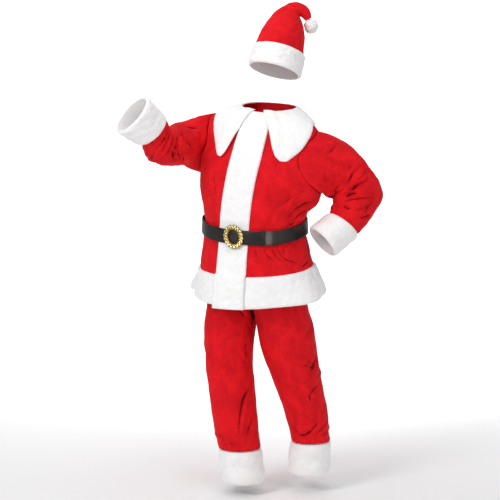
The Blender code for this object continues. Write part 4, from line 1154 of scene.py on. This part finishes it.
def leg_surface(rings, side):
    """A leg that opens at the crotch into half of the hips; it turns from the inner leg round the front.

    Below the crotch it is an oval, above it half of the hips' oval, with an eased share of both between.
    """
    def surface(turn, row):
        turn, row = np.broadcast_arrays(np.asarray(turn, float), np.asarray(row, float))
        get = {name: smooth(values, row) for name, values in rings.items()}
        start = -side * np.cos(turn)
        x = get["across"] + get["wide"] * start
        y = get["forward"] - side * get["deep"] * np.sin(turn)
        hip_row = np.clip(row - CROTCH_ROW, 0, 3)
        hip = {name: smooth(values, hip_row) for name, values in HIPS.items()}
        hip_turn = 0.5 * turn if side > 0 else np.pi + 0.5 * turn
        ahead = np.cos(hip_turn)
        hip_x = hip["wide"] * np.sin(hip_turn)
        hip_y = -np.where(ahead > 0, hip["front"], hip["back"]) * ahead
        share = ease((row - CROTCH_ROW) / HIP_ROWS)
        x, y = x * (1 - share) + hip_x * share, y * (1 - share) + hip_y * share
        return np.stack([x, y, get["height"] + 0 * x], -1)
    return surface


def leg(name, rings, side, folds, seed):
    """One leg in a single piece of velour, sewn to itself down the inner leg, gathered at the ankle.

    Beside the seam the cloth dips by a narrow bell and puckers by a sine up the leg.
    """
    part = np.linspace(0, 1, 124)[None, :]
    turn = INNER_SEAM + (2 * np.pi - 2 * INNER_SEAM) * part
    row = np.concatenate([np.linspace(0.004, 2, 62), np.linspace(2, WAIST_ROW, 118)[1:]])[:, None]
    turn, row = np.broadcast_arrays(turn, row)
    plain = leg_surface(rings, side)
    edge = np.minimum(part, 1 - part) * 0.6 + 0 * row
    relief = gathers(turn, row, 0.0, 0.33, seed) - 0.0022 * bump(row, 0.07)
    relief = relief * ease(edge / 0.03) - 0.0012 * bump(edge, 0.0035)
    relief = relief + 0.0006 * np.sin(row * 60) * bump(edge - 0.006, 0.008)
    velour_wall("leg_" + name, folded(plain, folds), turn, row, False, relief)


leg("right", RIGHT_LEG, -1, RIGHT_LEG_FOLDS, 61)
leg("left", LEFT_LEG, 1, LEFT_LEG_FOLDS, 62)


def oval_rings(rings):
    """Upright ovals, one for each row: turn goes round from the front, towards the left leg."""
    def surface(turn, row):
        turn, row = np.broadcast_arrays(np.asarray(turn, float), np.asarray(row, float))
        get = {name: smooth(values, row) for name, values in rings.items()}
        x = get["across"] + get["wide"] * np.sin(turn)
        y = get["forward"] - get["deep"] * np.cos(turn)
        return np.stack([x, y, get["height"] + 0 * x], -1)
    return surface


WAISTBAND = table(LEG, [
    (1.0006, 0.0, 0.0, 0.1985, 0.1460),
    (1.020, 0.0, 0.0, 0.197, 0.1450),
    (1.040, 0.0, 0.0, 0.196, 0.1440),
])
RIGHT_ANKLE = table(LEG, [
    (0.048, -0.034, -0.054, 0.081, 0.083),
    (0.115, -0.041, -0.055, 0.080, 0.082),
    (0.1826, -0.051, -0.054, 0.080, 0.083),
])
LEFT_ANKLE = table(LEG, [
    (0.070, 0.181, 0.120, 0.078, 0.080),
    (0.135, 0.184, 0.121, 0.078, 0.080),
    (0.2024, 0.189, 0.122, 0.076, 0.080),
])
ANKLE_SLACK = np.array([0.0, 0.004, -0.003, 0.002, 0.0])   # how far it bulges, at five heights


def ankle_cuff(name, rings, seed):
    """The plush cuff at the foot of a leg: it slumps a little, so its sides bulge and dip.

    The slump is a curve up the cuff times a cosine round it, and a small wave that winds up the cuff.
    """
    part = np.linspace(0, 1, 38)[:, None]
    turn = full_turn(130)
    puff = rounded(part, 0.13, 0.12)
    slump = smooth(ANKLE_SLACK, 4 * part) * np.cos(turn - 0.8) * 1.2
    slump = slump + 0.0016 * np.sin(3 * turn + 6 * part) * np.sin(np.pi * part)
    plush_wall("trouser_cuff_" + name, oval_rings(rings), turn, 2 * part, PLUSH * puff + slump,
               -VELOUR - PLUSH_SINK * puff + slump, True, seed)


ankle_cuff("right", RIGHT_ANKLE, 71)
ankle_cuff("left", LEFT_ANKLE, 72)


def waistband():
    """The trousers' waistband: velour drawn up by the elastic inside it."""
    part = np.linspace(0, 1, 16)[:, None]
    turn, part = np.broadcast_arrays(full_turn(130), part)
    relief = gathers(turn, part, 0.5, 0.6, 73) * 0.6
    for stitches in (0.15, 0.85):
        relief = relief - 0.0008 * bump(part - stitches, 0.05)
    velour_wall("waistband", oval_rings(WAISTBAND), turn, 2 * part, True, relief)


waistband()


# ---- The hat ----
# Rings along a path from the band up to the fold and down to the pompom
HAT = table(ARM, [
    (0.068, 0.020, 1.728, 0.103, 0.106),
    (0.076, 0.034, 1.780, 0.102, 0.105),
    (0.083, 0.048, 1.832, 0.098, 0.100),
    (0.089, 0.066, 1.882, 0.088, 0.087),
    (0.098, 0.084, 1.931, 0.069, 0.066),
    (0.114, 0.096, 1.966, 0.048, 0.044),
    (0.135, 0.107, 1.981, 0.031, 0.028),
    (0.153, 0.116, 1.974, 0.025, 0.022),
    (0.165, 0.122, 1.957, 0.0195, 0.017),
    (0.1715, 0.127, 1.942, 0.0135, 0.012),
])
BAND_ROW = 1.58           # where the plush band ends
HAT_END = 9.0
HAT_FOLDS = table(FOLDS, [
    (300, 4.6, 0, 5.0, 60, 5.4, 0.008, 0.005, 0.5), (290, 3.6, 310, 4.3, 330, 5.0, 0.011, 0.006, 0.4),
    (150, 3.2, 160, 4.0, 170, 5.0, 0.011, 0.006, 0.4), (60, 2.6, 70, 3.3, 80, 4.0, 0.013, 0.005, 0.4),
    (280, 5.2, 330, 5.5, 30, 5.7, 0.005, 0.0035, 0.6), (300, 5.7, 350, 5.95, 50, 6.1, 0.004, 0.003, 0.6),
    (270, 6.1, 330, 6.3, 30, 6.5, 0.004, 0.003, 0.6), (120, 5.0, 180, 5.4, 240, 5.5, 0.006, 0.004, 0.5),
    (200, 2.8, 230, 3.6, 250, 4.6, 0.012, 0.005, 0.4), (330, 2.5, 345, 3.2, 350, 4.0, 0.012, 0.003, 0.3),
    (10, 2.3, 30, 3.0, 36, 3.8, 0.010, 0.003, 0.4), (110, 2.4, 118, 3.2, 130, 4.2, 0.012, 0.004, 0.4),
])
HAT_BACK = np.array([-0.47, 0.88, 0.0])    # the way from its face to its back


def hat_surface(rings):
    """Ovals across the path of the hat, square to it: sine times half width and cosine times half depth."""
    centre = np.stack([rings["across"], rings["forward"], rings["height"]], -1)
    along = np.gradient(centre, axis=0)
    along /= np.linalg.norm(along, axis=1, keepdims=True)
    back = HAT_BACK - (along @ HAT_BACK)[:, None] * along
    back /= np.linalg.norm(back, axis=1, keepdims=True)
    right = np.cross(back, along)

    def surface(turn, row):
        turn, row = np.broadcast_arrays(np.asarray(turn, float), np.asarray(row, float))
        wide = (np.sin(turn) * smooth(rings["wide"], row))[..., None] * smooth_points(right, row)
        deep = (np.cos(turn) * smooth(rings["deep"], row))[..., None] * smooth_points(back, row)
        return smooth_points(centre, row) + wide - deep
    return surface


def hat():
    """The cone of velour that folds over at its tip, and the plush band round its foot."""
    plain = hat_surface(HAT)
    row = np.concatenate([np.linspace(BAND_ROW + 0.004, 4.5, 50), np.linspace(4.5, HAT_END - 0.004, 76)[1:]])
    turn, row = np.broadcast_arrays(full_turn(110), row[:, None])
    shrink = ease((HAT_END - row) / 2.5)
    relief = gathers(turn, row, BAND_ROW, 0.35, 81) * 0.45 - 0.0016 * bump(row - BAND_ROW, 0.06)
    velour_wall("hat_cone", folded(plain, HAT_FOLDS), turn, row, True, relief * shrink)
    part = np.linspace(0, 1, 42)[:, None]
    puff = rounded(part, 0.12, 0.12)
    plush_wall("hat_band", plain, full_turn(180), BAND_ROW * part, PLUSH * puff, -VELOUR - PLUSH_SINK * puff,
               True, 82)


hat()


POMPOM_PLACE = np.array([0.180, 0.1325, 1.9143])


def pompom():
    """The ball at the hat's tip: a sphere whose radius swells and dips in tufts."""
    rows, columns = 80, 130
    tilt = (np.pi * (np.arange(rows) + 0.5) / rows)[:, None]
    turn = full_turn(columns)
    way = np.stack([np.sin(tilt) * np.cos(turn), np.sin(tilt) * np.sin(turn), np.cos(tilt) + 0 * turn], -1)
    chance = np.random.default_rng(91)
    tufts = 0.0016 * waves(way * POMPOM_RADIUS, 0.017, 91) + 0.0011 * waves(way * POMPOM_RADIUS, 0.006, 92)
    tufts = tufts + 0.0004 * chance.normal(size=tufts.shape)
    centre = POMPOM_PLACE + TO_FRAME
    points = centre + (POMPOM_RADIUS + tufts)[..., None] * way
    ends = centre + np.array([[0, 0, POMPOM_RADIUS], [0, 0, -POMPOM_RADIUS]])
    points = np.concatenate([points.reshape(-1, 3), ends])
    i, j = np.meshgrid(np.arange(rows - 1), np.arange(columns), indexing="ij")
    k = (j + 1) % columns
    faces = np.stack([i * columns + j, (i + 1) * columns + j, (i + 1) * columns + k, i * columns + k], -1)
    faces = faces.reshape(-1, 4).tolist()
    top, low, last = rows * columns, rows * columns + 1, (rows - 1) * columns
    faces += [(top, a, (a + 1) % columns) for a in range(columns)]
    faces += [(low, last + (a + 1) % columns, last + a) for a in range(columns)]
    # painted shade in the dips between the tufts
    painted_shade_and_sheen = np.concatenate([(-2 * tufts).reshape(-1), [0, 0]])
    settle(new_mesh("pompom_plush", points, faces, PLUSH_WHITE, painted_shade_and_sheen), "pompom")


pompom()


# ---- Floor, light and camera ----
VIEW_TURN = 28            # degrees that the view lies round from the front
VIEW_AWAY = 4.8
VIEW_HEIGHT = 1.30        # above the floor
AIM_HEIGHT = 1.0
METRES_PER_PIXEL = 0.0041
PICTURE_PIXELS = 500
MIDDLE_PIXEL = 257        # where the suit's middle lies across the picture
SENSOR = 36.0             # millimetres

def stage():
    """A pale floor that curves up behind into a backdrop: a straight run, a quarter circle and a rise."""
    front, back, radius, top, half_width = -6.0, 4.0, 2.5, 7.0, 9.0
    run = np.linspace(front, back, 12)
    bend = np.linspace(0, 0.5 * np.pi, 16)[1:]
    y = np.concatenate([run, back + radius * np.sin(bend), [back + radius]])
    z = np.concatenate([0 * run, radius - radius * np.cos(bend), [top]]) + FLOOR
    x = np.array([-half_width, half_width])
    turn = np.radians(VIEW_TURN)
    points = [(a * np.cos(turn) - b * np.sin(turn), a * np.sin(turn) + b * np.cos(turn), c)
              for b, c in zip(y, z) for a in x]
    faces = [(2 * i, 2 * i + 1, 2 * i + 3, 2 * i + 2) for i in range(len(y) - 1)]
    mesh = bpy.data.meshes.new("floor")
    mesh.from_pydata(points, [], faces)
    mesh.shade_smooth()
    made = bpy.data.materials.new("pale_floor")
    made.use_nodes = True
    shader = made.node_tree.nodes["Principled BSDF"]
    shader.inputs["Base Color"].default_value = (0.97, 0.97, 0.97, 1.0)
    shader.inputs["Roughness"].default_value = 0.9
    mesh.materials.append(made)
    floor = bpy.data.objects.new("floor", mesh)
    bpy.context.scene.collection.objects.link(floor)


def lamp(name, place, aim, size, power, colour=(1.0, 1.0, 1.0)):
    """A square area light at a place, pointed at another."""
    data = bpy.data.lights.new(name, "AREA")
    data.size, data.energy, data.color = size, power, colour
    light = bpy.data.objects.new(name, data)
    light.location = place
    light.rotation_euler = (Vector(aim) - Vector(place)).to_track_quat("-Z", "Y").to_euler()
    bpy.context.scene.collection.objects.link(light)


def camera():
    """The view: round from the front by the view's turn, from a distance, with level picture edges."""
    turn = np.radians(VIEW_TURN)
    right = np.array([np.cos(turn), np.sin(turn), 0.0])
    back = np.array([np.sin(turn), -np.cos(turn), 0.0])
    base = TO_FRAME + right * (PICTURE_PIXELS / 2 - MIDDLE_PIXEL) * METRES_PER_PIXEL
    eye = base + back * VIEW_AWAY + np.array([0, 0, VIEW_HEIGHT])
    aim = base + np.array([0, 0, AIM_HEIGHT])
    data = bpy.data.cameras.new("view")
    data.sensor_width = SENSOR
    data.lens = SENSOR * VIEW_AWAY / (PICTURE_PIXELS * METRES_PER_PIXEL)
    view = bpy.data.objects.new("view", data)
    view.location = eye
    view.rotation_euler = Vector(aim - eye).to_track_quat("-Z", "Y").to_euler()
    bpy.context.scene.collection.objects.link(view)
    bpy.context.scene.camera = view


stage()
lamp("key", (-1.2, -4.2, 2.0), (0, 0, -0.5), 1.6, 92)
lamp("fill", (3.4, -2.4, 0.9), (0, 0, -0.6), 2.6, 34, (1.0, 0.93, 0.87))
lamp("top", (0.0, -0.6, 3.0), (0, 0, -0.6), 2.4, 34)
lamp("behind", (-1.2, 2.6, 1.8), (-2.4, 5.4, -0.9), 2.4, 150)
world = bpy.context.scene.world or bpy.data.worlds.new("world")
bpy.context.scene.world = world
world.use_nodes = True
background = world.node_tree.nodes["Background"]
background.inputs["Color"].default_value = (0.95, 0.97, 1.0, 1.0)
background.inputs["Strength"].default_value = 0.45
bpy.context.scene.view_settings.view_transform = "Standard"
camera()
